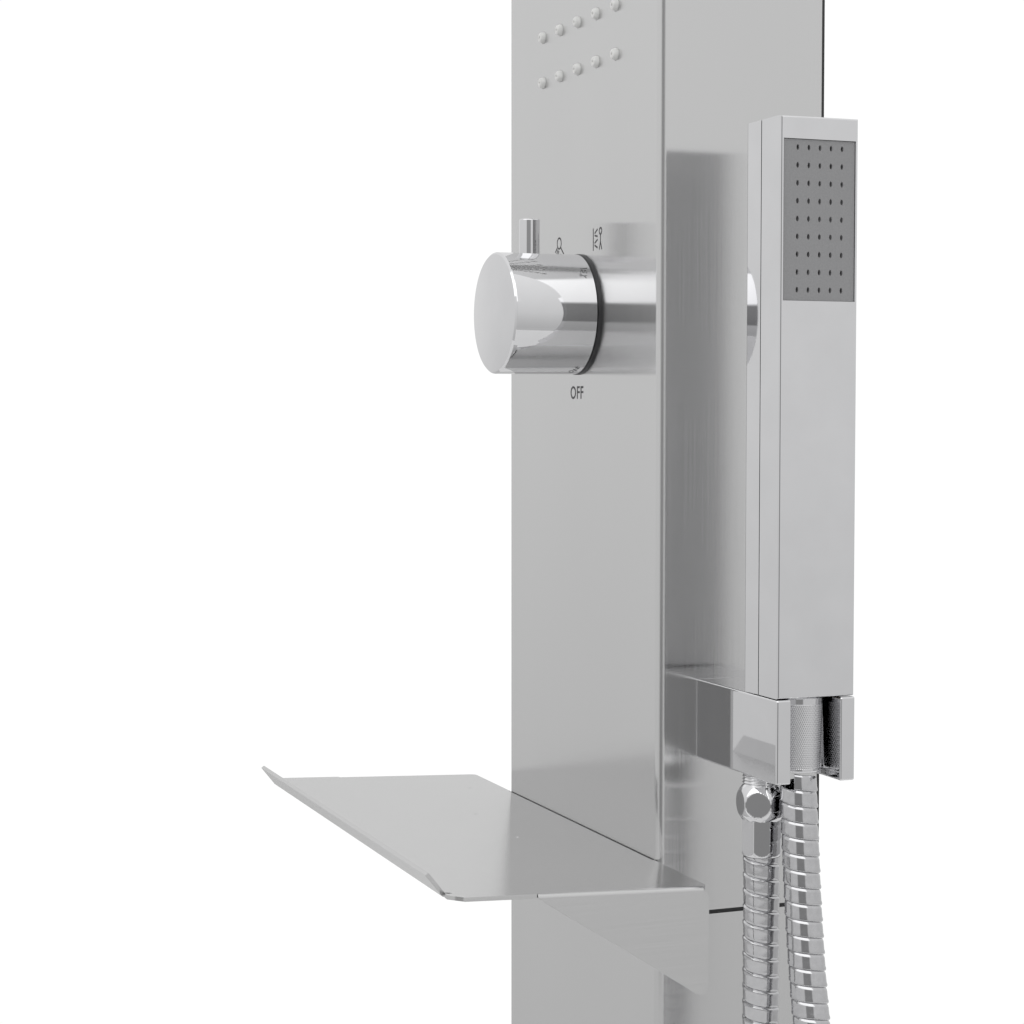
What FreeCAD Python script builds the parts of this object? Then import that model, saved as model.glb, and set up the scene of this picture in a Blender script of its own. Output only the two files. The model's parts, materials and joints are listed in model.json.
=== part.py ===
"""Rainfall shower column: a folded stainless steel wall panel with an overhead rain head, body jets,
a rotary control knob, a stick handset on its water-outlet holder with a metal hose, and a shelf.

Millimetres. X runs to the right and +Z up, the wall is the plane y = 0 and the column faces -Y.
The origin is the middle of the upper wall bracket's screw holes, on the wall.
"""

import FreeCAD, Part
import math
import os
import re
import Sketcher

Vector = FreeCAD.Vector
doc = FreeCAD.newDocument("shower_column")

# ---------------------------------------------------------------- driving dimensions
SIZES = {
    # column casing
    "column_width": 160,
    "column_depth": 70,
    "gasket": 1.5,
    "sheet": 1.2,
    "bend": 3,
    "flange": 14,
    "knob_z": -560,
    "column_top": 656,
    "column_foot": -620,
    "seam_z": -236.6,
    "seam_gap": 1.6,
    "pipe_y": 40,
    # overhead rain head
    "head_reach": 460,
    "head_height": 26,
    "rain_pitch": 20,
    "rain_columns": 6,
    "rain_rows": 13,
    "rain_front": 30,
    "peg_hole": 2.6,
    "peg": 2.4,
    "peg_out": 2.2,
    # body jets
    "jet_pitch": 19.4,
    "jet_columns": 5,
    "jet_rows": 9,
    "jet_low": 101.9,
    # control
    "knob_radius": 25,
    "knob_out": 37.6,
    "ring_out": 1.3,
    "knob_gap": 0.3,
    "knob_bore": 21,
    "pin_y": 21.8,
    "pin_radius": 4.3,
    "pin_top": 39,
    "spindle": 4,
    # handset holder on the right side face
    "holder_out": 144.7,
    "holder_y0": 16.9,
    "holder_y1": 49.2,
    "holder_z0": -175.3,
    "holder_z1": -144.5,
    "slot_x": 131.5,
    "slot_y": 33,
    "slot_radius": 10.1,
    "shank_z": -159.7,
    "shank": 7,
    "outlet_x": 117.7,
    "outlet_y": 25.4,
    # handset
    "handset_x0": 118.5,
    "handset_x1": 144.4,
    "handset_y0": 17.2,
    "handset_y1": 48.9,
    "handset_top": 64.8,
    "handset_split": 129.9,
    "handset_wall": 1.5,
    "plate_z0": -0.9,
    "plate_z1": 56.7,
    "plate_inset": 0.5,
    "hole_pitch_y": 4.5,
    "hole_pitch_z": 6.34,
    # hose
    "hose_radius": 7,
    # shelf
    "shelf_width": 252,
    "shelf_depth": 100.6,
    "shelf_z": -214.6,
    "shelf_rise": 4.3,
    "shelf_sheet": 2,
    "lip_out": 7.1,
    "lip_up": 9,
    "gusset_drop": 40,
    "gusset_out": 68,
    "shelf_flange": 26,
    # wall brackets
    "bracket_half": 55,
    "bracket_hole_x": 40,
    "bracket_hole": 3.25,
    "lower_bracket_z": -1060,
    # water inlet
    "thread_half": 10.48,
    "pipe_radius": 6,
}

sheet = doc.addObject("Spreadsheet::Sheet", "dims")
for row, (alias, number) in enumerate(SIZES.items(), start=1):
    sheet.set(f"A{row}", alias)
    sheet.set(f"B{row}", str(number))
    sheet.setAlias(f"B{row}", alias)
doc.recompute()

# formulas that several pieces share
FRONT = "(-column_depth - gasket)"
SIDE = "(column_width / 2)"
INNER = "(column_width / 2 - sheet)"
INNER_FRONT = "(-column_depth - gasket + sheet)"
PIPE_Y = "(-column_depth - gasket + pipe_y)"
HEAD_Z = "(knob_z + column_top)"
SEAM_TOP = "(knob_z + seam_z + seam_gap / 2)"
SEAM_FOOT = "(knob_z + seam_z - seam_gap / 2)"
FOOT = "(knob_z + column_foot)"
SLOT_Y = "(-column_depth - gasket + slot_y)"
OUTLET_Y = "(-column_depth - gasket + outlet_y)"
HANDSET_Z = "(knob_z + holder_z1 + 0.3)"

WORD = re.compile(r"[a-z_][a-z0-9_]*")
nodes = []


# ---------------------------------------------------------------- helpers
def formula(text):
    """The expression that reads each size's cell."""
    return WORD.sub(lambda word: f"dims.{word.group()}" if word.group() in SIZES else word.group(), text)


def size(alias):
    return float(sheet.get(alias))


def bind(item, **formulas):
    for name, text in formulas.items():
        item.setExpression(name, formula(text))
    return item


def place(item, x, y, z):
    for axis, text in zip("xyz", (x, y, z)):
        item.setExpression(f"Placement.Base.{axis}", formula(text))
    return item


def node(label, item):
    """Names a finished sub-part."""
    item.Label = label
    nodes.append(item)
    return item


def span(pair):
    return f"({pair[1]}) - ({pair[0]})"


def box(name, x, y, z):
    """A block between two formulas along each axis."""
    item = doc.addObject("Part::Box", name)
    bind(item, Length=span(x), Width=span(y), Height=span(z))
    return place(item, x[0], y[0], z[0])


AXIS_TURN = {
    "x": FreeCAD.Rotation(Vector(0, 1, 0), 90),
    "y": FreeCAD.Rotation(Vector(1, 0, 0), -90),
    "z": FreeCAD.Rotation(),
}


def along(item, x, y, z):
    """Lays a round piece along the one axis whose entry is a (low, high) pair."""
    spots = {"x": x, "y": y, "z": z}
    axis = next(letter for letter, spot in spots.items() if isinstance(spot, tuple))
    item.Placement = FreeCAD.Placement(Vector(), AXIS_TURN[axis])
    bind(item, Height=span(spots[axis]))
    spots[axis] = spots[axis][0]
    return place(item, spots["x"], spots["y"], spots["z"])


def rod(name, x, y, z, radius):
    item = doc.addObject("Part::Cylinder", name)
    bind(item, Radius=radius)
    return along(item, x, y, z)


def cone(name, x, y, z, radius_low, radius_high):
    item = doc.addObject("Part::Cone", name)
    bind(item, Radius1=radius_low, Radius2=radius_high)
    return along(item, x, y, z)


def prism(name, x, y, z, corner_radius, sides=6):
    item = doc.addObject("Part::Prism", name)
    item.Polygon = sides
    bind(item, Circumradius=corner_radius)
    return along(item, x, y, z)


def ball(name, x, y, z, radius):
    item = doc.addObject("Part::Sphere", name)
    bind(item, Radius=radius)
    return place(item, x, y, z)


def fuse(name, *items):
    item = doc.addObject("Part::MultiFuse", name)
    item.Shapes = list(items)
    item.Refine = True
    return item


def cut(name, base, *tools):
    item = doc.addObject("Part::Cut", name)
    item.Base = base
    item.Tool = tools[0] if len(tools) == 1 else fuse(name + "_tools", *tools)
    return item


def common(name, first, second):
    item = doc.addObject("Part::Common", name)
    item.Base = first
    item.Tool = second
    return item


def group(name, items):
    """Identical fasteners kept together as separate solids."""
    item = doc.addObject("Part::Compound", name)
    item.Links = items
    return item


def pipe(name, corners, radii, tube_radius, bore_radius=0):
    """A round tube along straight runs joined by tangent arcs, as one Part::Feature."""
    edges = []
    start = Vector(*corners[0])
    for before, corner, after, radius in zip(corners, corners[1:], corners[2:], radii):
        into = (Vector(*corner) - Vector(*before)).normalize()
        out = (Vector(*after) - Vector(*corner)).normalize()
        half_turn = into.getAngle(out) / 2
        reach = radius * math.tan(half_turn)
        first = Vector(*corner) - into * reach
        last = Vector(*corner) + out * reach
        inward = (out - into).normalize()
        middle = Vector(*corner) + inward * (radius / math.cos(half_turn) - radius)
        edges.append(Part.LineSegment(start, first).toShape())
        edges.append(Part.Arc(first, middle, last).toShape())
        start = last
    edges.append(Part.LineSegment(start, Vector(*corners[-1])).toShape())
    path = Part.Wire(edges)
    heading = Vector(*corners[1]) - Vector(*corners[0])

    def swept(radius):
        ring = Part.Wire(Part.makeCircle(radius, Vector(*corners[0]), heading))
        return path.makePipeShell([ring], True, False)

    solid = swept(tube_radius)
    if bore_radius:
        solid = solid.cut(swept(bore_radius))
    item = doc.addObject("Part::Feature", name)
    item.Shape = solid
    return item, path.Length


# ---------------------------------------------------------------- sketched bodies
def new_body(name):
    return doc.addObject("PartDesign::Body", name)


def origin_of(body, role):
    return next(part for part in body.Origin.OriginFeatures if part.Role == role)


def sketch(body, name, plane, offset="0 + 0"):
    made = body.newObject("Sketcher::SketchObject", name)
    made.AttachmentSupport = [(origin_of(body, plane), "")]
    made.MapMode = "FlatFace"
    made.setExpression("AttachmentOffset.Base.z", formula(offset))
    return made


def constrain(made, kind, *where, text):
    index = made.addConstraint(Sketcher.Constraint(kind, *where, 1.0))
    made.setExpression(f"Constraints[{index}]", formula(text))


def outline(made, corners):
    """Draws a closed outline whose corners are each held by two formulas."""
    count = len(corners)
    first = made.GeometryCount
    loose = [Vector(math.cos(math.tau * i / count), math.sin(math.tau * i / count), 0) for i in range(count)]
    for i in range(count):
        made.addGeometry(Part.LineSegment(loose[i], loose[(i + 1) % count]), False)
    for i in range(count):
        made.addConstraint(Sketcher.Constraint("Coincident", first + i, 2, first + (i + 1) % count, 1))
    for i, (across, up) in enumerate(corners):
        constrain(made, "DistanceX", -1, 1, first + i, 1, text=across)
        constrain(made, "DistanceY", -1, 1, first + i, 1, text=up)


def rectangle(made, x, y):
    outline(made, [(x[0], y[0]), (x[1], y[0]), (x[1], y[1]), (x[0], y[1])])


def circle(made, across, up, radius):
    index = made.addGeometry(Part.Circle(Vector(0, 0, 0), Vector(0, 0, 1), 1), False)
    constrain(made, "Radius", index, text=radius)
    constrain(made, "DistanceX", -1, 1, index, 3, text=across)
    constrain(made, "DistanceY", -1, 1, index, 3, text=up)


def pad(body, made, length):
    item = body.newObject("PartDesign::Pad", made.Name + "_pad")
    item.Profile = made
    item.setExpression("Length", formula(length))
    doc.recompute()
    return item


def pocket(body, made, length=None, through_both=False):
    """Removes a sketch's outline, and stops if nothing was removed."""
    before = body.Shape.Volume
    item = body.newObject("PartDesign::Pocket", made.Name + "_pocket")
    item.Profile = made
    if length:
        item.setExpression("Length", formula(length))
    else:
        item.Type = "ThroughAll"
        item.Midplane = through_both
    doc.recompute()
    if body.Shape.Volume >= before - 1e-6:
        item.Reversed = True
        doc.recompute()
    if body.Shape.Volume >= before - 1e-6:
        raise ValueError(f"{item.Name} removes nothing")
    return item


def grid(body, feature, columns, pitch_x, rows, pitch_z, up="Z_Axis", across="X_Axis"):
    """Repeats one feature in columns and rows."""
    item = body.newObject("PartDesign::LinearPattern", feature.Name + "_grid")
    item.Originals = [feature]
    item.Direction = (origin_of(body, across), [""])
    item.setExpression("Length", formula(f"({columns} - 1) * {pitch_x}"))
    item.setExpression("Occurrences", formula(columns))
    item.Direction2 = (origin_of(body, up), [""])
    item.setExpression("Length2", formula(f"({rows} - 1) * {pitch_z}"))
    item.setExpression("Occurrences2", formula(rows))
    body.Tip = item
    doc.recompute()
    return item


def fillet(body, wanted, radius):
    """Rounds the body's straight edges for which wanted(start, end) is true."""
    tip = body.Tip
    chosen = []
    for number, edge in enumerate(tip.Shape.Edges, start=1):
        ends = [vertex.Point for vertex in edge.Vertexes]
        if len(ends) == 2 and wanted(*ends):
            chosen.append(f"Edge{number}")
    item = body.newObject("PartDesign::Fillet", tip.Name + "_fillet")
    item.Base = (tip, chosen)
    item.setExpression("Radius", formula(radius))
    doc.recompute()
    return item


def upright(start, end):
    return abs(start.x - end.x) < 1e-6 and abs(start.y - end.y) < 1e-6


# ---------------------------------------------------------------- column casing
def casing(label, foot, top):
    """A folded sheet channel, open to the wall, with a return flange down each back edge."""
    body = new_body(label)
    outer = sketch(body, label + "_outer", "XY_Plane", foot)
    rectangle(outer, (f"-{SIDE}", SIDE), (FRONT, "-gasket"))
    pad(body, outer, f"({top}) - ({foot})")
    front = -size("column_depth") - size("gasket")
    fillet(body, lambda a, b: upright(a, b) and abs(a.y - front) < 1e-6, "bend")
    inner = sketch(body, label + "_inner", "XY_Plane", foot)
    rectangle(inner, (f"-{INNER}", INNER), (INNER_FRONT, "-gasket - sheet"))
    pocket(body, inner)
    opening = sketch(body, label + "_opening", "XY_Plane", foot)
    rectangle(opening, (f"-{SIDE} + flange", f"{SIDE} - flange"), ("-gasket - sheet - 1", "-gasket + 1"))
    pocket(body, opening)
    return body


def front_hole(body, name, x, z, radius):
    made = sketch(body, name, "XZ_Plane", f"-{INNER_FRONT} - 1")
    circle(made, x, z, radius)
    return pocket(body, made, "sheet + 2")


def side_hole(body, name, y, z, radius):
    made = sketch(body, name, "YZ_Plane", f"{SIDE} - sheet - 1")
    circle(made, y, z, radius)
    return pocket(body, made, "sheet + 2")


def column():
    upper = casing("upper_casing", SEAM_TOP, HEAD_Z)
    jet = front_hole(upper, "jet_hole", "-(jet_columns - 1) / 2 * jet_pitch", "knob_z + jet_low", "peg_hole")
    grid(upper, jet, "jet_columns", "jet_pitch", "jet_rows", "jet_pitch")
    front_hole(upper, "valve_hole", "0 + 0", "knob_z", "15.1 + 0")
    side_hole(upper, "shank_hole", PIPE_Y, "knob_z + shank_z", "shank + 0.2")
    for side in ("-1", "1"):
        front_hole(upper, "shelf_hole", f"{side} * 55", "knob_z + shelf_z - 12", "4 + 0")
    node("upper_casing", upper)
    node("lower_casing", casing("lower_casing", FOOT, SEAM_FOOT))

    joiner = cut(
        "joiner",
        box("joiner_outer", (f"-{INNER}", INNER), (INNER_FRONT, "-gasket - sheet"),
            (f"{SEAM_TOP} - 16", f"{SEAM_FOOT} + 4")),
        box("joiner_inner", (f"-{INNER} + sheet", f"{INNER} - sheet"), (f"{INNER_FRONT} + sheet", "gasket"),
            (f"{SEAM_TOP} - 17", f"{SEAM_FOOT} + 5")),
    )
    node("seam_joiner", joiner)

    foot_plate = box("foot_plate", (f"-{INNER}", INNER), (INNER_FRONT, "-gasket - sheet"),
                     (FOOT, f"{FOOT} + 1.5"))
    foot_hole = rod("foot_hole", "0 + 0", PIPE_Y, (f"{FOOT} - 1", f"{FOOT} + 3"), "10 + 0")
    node("bottom_cap", cut("bottom_cap", foot_plate, foot_hole))

    ring_outer = box("gasket_outer", (f"-{SIDE} + 0.6", f"{SIDE} - 0.6"), ("-gasket", "0"),
                     (f"{FOOT} + 0.6", f"{HEAD_Z} + head_height - 0.6"))
    ring_inner = box("gasket_inner", (f"-{SIDE} + 13", f"{SIDE} - 13"), ("-gasket - 1", "1"),
                     (f"{FOOT} + 12", f"{HEAD_Z} + head_height - 12"))
    node("back_gasket", cut("back_gasket", ring_outer, ring_inner))


# ---------------------------------------------------------------- wall brackets and hangers
def wall_fixing(prefix, height):
    """A stepped bracket on the wall and the hanger bar that hooks behind its lip."""
    reach = ("-bracket_half", "bracket_half")
    plate = box(prefix + "_plate", reach, ("-2", "0"), (f"{height} - 18", f"{height} + 18"))
    step = box(prefix + "_step", reach, ("-6", "-2"), (f"{height} + 14", f"{height} + 16"))
    lip = box(prefix + "_lip", reach, ("-8", "-6"), (f"{height} + 14", f"{height} + 27"))
    holes = [
        rod(prefix + "_hole", f"{side} * bracket_hole_x", ("-3", "1"), height, "bracket_hole")
        for side in (-1, 1)
    ]
    node(prefix + "_wall_bracket", cut(prefix + "_bracket", fuse(prefix + "_bent", plate, step, lip), *holes))

    tongue = box(prefix + "_tongue", reach, ("-5.8", "-4.2"), (f"{height} + 16", f"{height} + 34"))
    bridge = box(prefix + "_bridge", (f"-{INNER}", INNER), ("-5.8", "-gasket - sheet"),
                 (f"{height} + 34", f"{height} + 50"))
    node(prefix + "_hanger", fuse(prefix + "_hanger_bar", tongue, bridge))


# ---------------------------------------------------------------- overhead rain head
def rain_head():
    reach = ("-head_reach", "-gasket")
    body = new_body("rain_head_casing")
    outer = sketch(body, "head_outer", "XY_Plane", HEAD_Z)
    rectangle(outer, (f"-{SIDE}", SIDE), reach)
    pad(body, outer, "head_height")
    front = -size("head_reach")
    fillet(body, lambda a, b: upright(a, b) and abs(a.y - front) < 1e-6, "bend * 2")
    hollow = sketch(body, "head_hollow", "XY_Plane", HEAD_Z)
    rectangle(hollow, (f"-{INNER}", INNER), ("-head_reach + sheet", "-gasket - sheet"))
    before = body.Shape.Volume
    item = body.newObject("PartDesign::Pocket", "head_hollow_pocket")
    item.Profile = hollow
    item.setExpression("Length", formula("head_height - sheet"))
    item.Reversed = True
    doc.recompute()
    if body.Shape.Volume >= before - 1e-6:
        raise ValueError("the rain head stayed solid")
    node("rain_head_casing", body)

    plate = new_body("rain_head_plate")
    flat = sketch(plate, "plate_flat", "XY_Plane", HEAD_Z)
    rectangle(flat, (f"-{INNER}", INNER), ("-head_reach + sheet", FRONT))
    pad(plate, flat, "sheet")
    first = sketch(plate, "rain_hole", "XY_Plane", HEAD_Z)
    circle(first, "-(rain_columns - 1) / 2 * rain_pitch", "-head_reach + rain_front", "peg_hole")
    hole = pocket(plate, first)
    grid(plate, hole, "rain_columns", "rain_pitch", "rain_rows", "rain_pitch", up="Y_Axis")
    node("rain_head_plate", plate)

    field = ("-(rain_columns / 2) * rain_pitch - 4", "(rain_columns / 2) * rain_pitch + 4")
    rows = ("-head_reach + rain_front - 14", "-head_reach + rain_front + (rain_rows - 1) * rain_pitch + 14")
    mat = new_body("rain_nozzle_mat")
    cloth = sketch(mat, "mat_flat", "XY_Plane", f"{HEAD_Z} + sheet")
    rectangle(cloth, field, rows)
    pad(mat, cloth, "2 + 0")
    first_peg = sketch(mat, "rain_peg", "XY_Plane", f"{HEAD_Z} - peg_out")
    circle(first_peg, "-(rain_columns - 1) / 2 * rain_pitch", "-head_reach + rain_front", "peg")
    peg = pad(mat, first_peg, "peg_out + sheet + 1")
    grid(mat, peg, "rain_columns", "rain_pitch", "rain_rows", "rain_pitch", up="Y_Axis")
    node("rain_nozzle_mat", mat)

    floor = f"{HEAD_Z} + sheet + 2"
    tray = box("tray", field, rows, (floor, f"{floor} + 16"))
    tray_hollow = box("tray_hollow", (f"{field[0]} + 1.5", f"{field[1]} - 1.5"),
                      (f"{rows[0]} + 1.5", f"{rows[1]} - 1.5"), (f"{floor} - 1", f"{floor} + 14.5"))
    tray_end = (f"{rows[1]} - 3", f"{rows[1]} + 1")
    tray_inlet = rod("tray_inlet", "0 + 0", tray_end, f"{floor} + 8", "pipe_radius")
    node("rain_chamber", cut("rain_chamber", tray, tray_hollow, tray_inlet))

    rails = [
        box("rail", (f"{side} * 77.3 - 1.5", f"{side} * 77.3 + 1.5"), ("-head_reach + 12", "-12"),
            (f"{HEAD_Z} + sheet", f"{HEAD_Z} + sheet + 20"))
        for side in (-1, 1)
    ]
    node("head_support_rails", group("rails", rails))


# ---------------------------------------------------------------- body jets
def body_jets():
    wide = ("-(jet_columns / 2) * jet_pitch - 3", "(jet_columns / 2) * jet_pitch + 3")
    tall = ("knob_z + jet_low - 13", "knob_z + jet_low + (jet_rows - 1) * jet_pitch + 13")
    mat = new_body("jet_nozzle_mat")
    cloth = sketch(mat, "jet_mat_flat", "XZ_Plane", f"-{INNER_FRONT} - 2")
    rectangle(cloth, wide, tall)
    pad(mat, cloth, "2 + 0")
    first = sketch(mat, "jet_peg", "XZ_Plane", f"-{INNER_FRONT} - 1")
    circle(first, "-(jet_columns - 1) / 2 * jet_pitch", "knob_z + jet_low", "peg")
    peg = pad(mat, first, "1 + sheet + peg_out")
    grid(mat, peg, "jet_columns", "jet_pitch", "jet_rows", "jet_pitch")
    node("jet_nozzle_mat", mat)

    back = f"{INNER_FRONT} + 2"
    tray = box("jet_tray", wide, (back, f"{back} + 15"), tall)
    hollow = box("jet_tray_hollow", (f"{wide[0]} + 2", f"{wide[1]} - 2"), (f"{back} - 1", f"{back} + 13"),
                 (f"{tall[0]} + 2", f"{tall[1]} - 2"))
    wall = (f"{back} + 12", f"{back} + 16")
    inlet = rod("jet_tray_inlet", "20 + 0", wall, f"{tall[0]} + 14", "pipe_radius")
    node("jet_manifold", cut("jet_manifold", tray, hollow, inlet))


# ---------------------------------------------------------------- valve and control knob
def control():
    deep = (INNER_FRONT, f"{INNER_FRONT} + 50")
    shell = rod("valve_shell", "0 + 0", deep, "knob_z", "24 + 0")
    neck = rod("valve_neck", "0 + 0", (f"{FRONT} - 9", f"{INNER_FRONT} + 1"), "knob_z", "15 + 0")
    ports = [
        rod("port_inlet", "0 + 0", PIPE_Y, ("knob_z - 36", "knob_z"), "9 + 0"),
        rod("port_rain", "-20 + 0", PIPE_Y, ("knob_z", "knob_z + 36"), "9 + 0"),
        rod("port_jets", "20 + 0", PIPE_Y, ("knob_z", "knob_z + 36"), "9 + 0"),
        rod("port_handset", ("0", "40"), PIPE_Y, "knob_z", "9 + 0"),
    ]
    port_bores = [
        rod("bore_inlet", "0 + 0", PIPE_Y, ("knob_z - 37", "knob_z"), "pipe_radius"),
        rod("bore_rain", "-20 + 0", PIPE_Y, ("knob_z", "knob_z + 37"), "pipe_radius"),
        rod("bore_jets", "20 + 0", PIPE_Y, ("knob_z", "knob_z + 37"), "pipe_radius"),
        rod("bore_handset", ("0", "41"), PIPE_Y, "knob_z", "pipe_radius"),
    ]
    seat = rod("cartridge_seat", "0 + 0", (f"{FRONT} - 10", f"{INNER_FRONT} + 30"), "knob_z", "12 + 0")
    brass = fuse("valve_brass", shell, neck, *ports)
    node("valve_body", cut("valve_body", brass, seat, *port_bores))

    core = rod("cartridge_core", "0 + 0", (f"{FRONT} - 9", f"{INNER_FRONT} + 28"), "knob_z", "12 + 0")
    stem_hole = rod("stem_hole", "0 + 0", (f"{FRONT} - 10", f"{FRONT} + 4"), "knob_z", "spindle + 0.06")
    node("valve_cartridge", cut("valve_cartridge", core, stem_hole))

    hexagon = prism("lock_hexagon", "0 + 0", (f"{FRONT} - 6", FRONT), "knob_z", "19.5 + 0")
    lock_bore = rod("lock_bore", "0 + 0", (f"{FRONT} - 7", f"{FRONT} + 1"), "knob_z", "15 + 0")
    node("valve_lock_nut", cut("valve_lock_nut", hexagon, lock_bore))

    ring = rod("ring_outer", "0 + 0", (f"{FRONT} - ring_out", FRONT), "knob_z", "knob_radius + 0.2")
    ring_bore = rod("ring_bore", "0 + 0", (f"{FRONT} - ring_out - 1", f"{FRONT} + 1"), "knob_z", "knob_bore")
    node("knob_ring", cut("knob_ring", ring, ring_bore))

    knob = new_body("control_knob")
    profile = sketch(knob, "knob_profile", "YZ_Plane")
    face = f"({FRONT} - knob_out)"
    rear = f"({FRONT} - ring_out - knob_gap)"
    web = f"({FRONT} - 27)"
    corners = [
        (face, "knob_z"), (face, "knob_z + knob_radius - 0.8"), (f"{face} + 0.8", "knob_z + knob_radius"),
        (rear, "knob_z + knob_radius"), (rear, "knob_z + knob_bore"), (web, "knob_z + knob_bore"),
        (web, "knob_z + 9"), (f"{FRONT} - 13", "knob_z + 9"), (f"{FRONT} - 13", "knob_z + spindle"),
        (f"{FRONT} - 26", "knob_z + spindle"), (f"{FRONT} - 26", "knob_z"),
    ]
    outline(profile, corners)
    turned = knob.newObject("PartDesign::Revolution", "knob_turned")
    turned.Profile = profile
    turned.ReferenceAxis = (profile, ["Edge" + str(len(corners))])
    turned.Angle = 360
    doc.recompute()
    screw_way = sketch(knob, "screw_way", "XY_Plane", "knob_z - knob_radius - 1")
    circle(screw_way, "0 + 0", f"{FRONT} - 18", "2 + 0")
    pocket(knob, screw_way, "knob_radius + 1 - spindle")
    node("control_knob", knob)

    pin_tall = ("knob_z + knob_radius - 2", "knob_z + pin_top")
    pin = rod("pin", "0 + 0", f"{FRONT} - pin_y", pin_tall, "pin_radius")
    knob_space = rod("knob_space", "0 + 0", (f"{face} - 1", FRONT), "knob_z", "knob_radius")
    node("knob_pin", cut("knob_pin", pin, knob_space))
    stem = (f"{FRONT} - 26", f"{FRONT} + 3.5")
    node("knob_spindle", rod("spindle_rod", "0 + 0", stem, "knob_z", "spindle"))
    grub = rod("grub", "0 + 0", f"{FRONT} - 18", ("knob_z - 8.5", "knob_z - 4.2"), "2 + 0")
    node("knob_grub_screw", grub)


# ---------------------------------------------------------------- handset holder and water outlet
def holder():
    tall = ("knob_z + holder_z0", "knob_z + holder_z1")
    body = new_body("holder_body")
    block = sketch(body, "holder_block", "XY_Plane", tall[0])
    rectangle(block, (SIDE, "holder_out"), (f"{FRONT} + holder_y0", f"{FRONT} + holder_y1"))
    pad(body, block, "holder_z1 - holder_z0")
    out = size("holder_out")
    fillet(body, lambda a, b: upright(a, b) and abs(a.x - out) < 1e-6, "0.8 + 0")
    neck = sketch(body, "holder_shank", "YZ_Plane", f"{SIDE} - 17")
    circle(neck, PIPE_Y, "knob_z + shank_z", "shank")
    pad(body, neck, "17 + 0.5")
    fork = sketch(body, "holder_fork", "XY_Plane", f"{tall[0]} - 1")
    circle(fork, "slot_x", SLOT_Y, "slot_radius")
    pocket(body, fork, "holder_z1 - holder_z0 + 2")
    mouth = sketch(body, "holder_mouth", "XY_Plane", f"{tall[0]} - 1")
    rectangle(mouth, ("slot_x", "holder_out + 1"), (f"{SLOT_Y} - slot_radius", f"{SLOT_Y} + slot_radius"))
    pocket(body, mouth, "holder_z1 - holder_z0 + 2")
    inlet = sketch(body, "holder_inlet", "YZ_Plane", f"{SIDE} - 18")
    circle(inlet, PIPE_Y, "knob_z + shank_z", "4 + 0")
    pocket(body, inlet, f"18 + outlet_x - {SIDE}")
    drop = sketch(body, "holder_drop", "XY_Plane", f"{tall[0]} - 1")
    circle(drop, "outlet_x - 2", f"{OUTLET_Y} - 2", "3.2 + 0")
    pocket(body, drop, "16 + 0")
    cross = rod("holder_cross_bore", "outlet_x - 2", (f"{OUTLET_Y} - 4", PIPE_Y), "knob_z + shank_z", "3 + 0")
    node("handset_holder", cut("handset_holder", body, cross))

    washer = rod("holder_washer_disc", (f"{INNER} - 2", INNER), PIPE_Y, "knob_z + shank_z", "13 + 0")
    washer_bore = rod("holder_washer_bore", (f"{INNER} - 3", SIDE), PIPE_Y, "knob_z + shank_z", "shank")
    node("holder_washer", cut("holder_washer", washer, washer_bore))
    nut = prism("holder_hexagon", (f"{INNER} - 8", f"{INNER} - 2"), PIPE_Y, "knob_z + shank_z", "13 + 0")
    nut_bore = rod("holder_nut_bore", (f"{INNER} - 9", SIDE), PIPE_Y, "knob_z + shank_z", "shank")
    node("holder_lock_nut", cut("holder_lock_nut", nut, nut_bore))

    low = "(knob_z + holder_z0)"
    nipple = rod("nipple", "outlet_x", OUTLET_Y, (f"{low} - 15.4", low), "7.4 + 0")
    nipple_bore = rod("nipple_bore", "outlet_x", OUTLET_Y, (f"{low} - 16.4", f"{low} + 1"), "4.5 + 0")
    node("outlet_nipple", cut("outlet_nipple", nipple, nipple_bore))
    hexagon = prism("hose_hexagon", "outlet_x", OUTLET_Y, (f"{low} - 19.7", f"{low} - 5.3"), "9.9 + 0")
    dome = ball("hose_dome", "outlet_x", OUTLET_Y, f"{low} - 10.1", "10.9 + 0")
    bore = rod("hex_bore", "outlet_x", OUTLET_Y, (f"{low} - 17.3", f"{low} - 5"), "7.4 + 0")
    neck_bore = rod("hex_neck", "outlet_x", OUTLET_Y, (f"{low} - 20.2", f"{low} - 16.3"), "6 + 0")
    node("hose_hex_nut", cut("hose_hex_nut", common("hose_hex_body", hexagon, dome), bore, neck_bore))
    seal = rod("seal", "outlet_x", OUTLET_Y, (f"{low} - 17.3", f"{low} - 15.4"), "7.4 + 0")
    seal_bore = rod("seal_bore", "outlet_x", OUTLET_Y, (f"{low} - 18.3", f"{low} - 14.4"), "4.5 + 0")
    node("hose_washer", cut("hose_washer", seal, seal_bore))
    collar_tall = (f"{low} - 29.3", f"{low} - 19.7")
    collar = prism("ferrule_collar", "outlet_x", OUTLET_Y, collar_tall, "8.1 + 0", sides=8)
    taper_tall = (f"{low} - 31.3", f"{low} - 29.3")
    taper = cone("ferrule_taper", "outlet_x", OUTLET_Y, taper_tall, "6.9 + 0", "7.4 + 0")
    stub = rod("ferrule_stub", "outlet_x", OUTLET_Y, (f"{low} - 19.7", f"{low} - 17.3"), "6 + 0")
    ferrule_bore = rod("ferrule_bore", "outlet_x", OUTLET_Y, (f"{low} - 32", f"{low} - 16.3"), "4 + 0")
    node("hose_ferrule", cut("hose_ferrule", fuse("ferrule_solid", collar, taper, stub), ferrule_bore))


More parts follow.
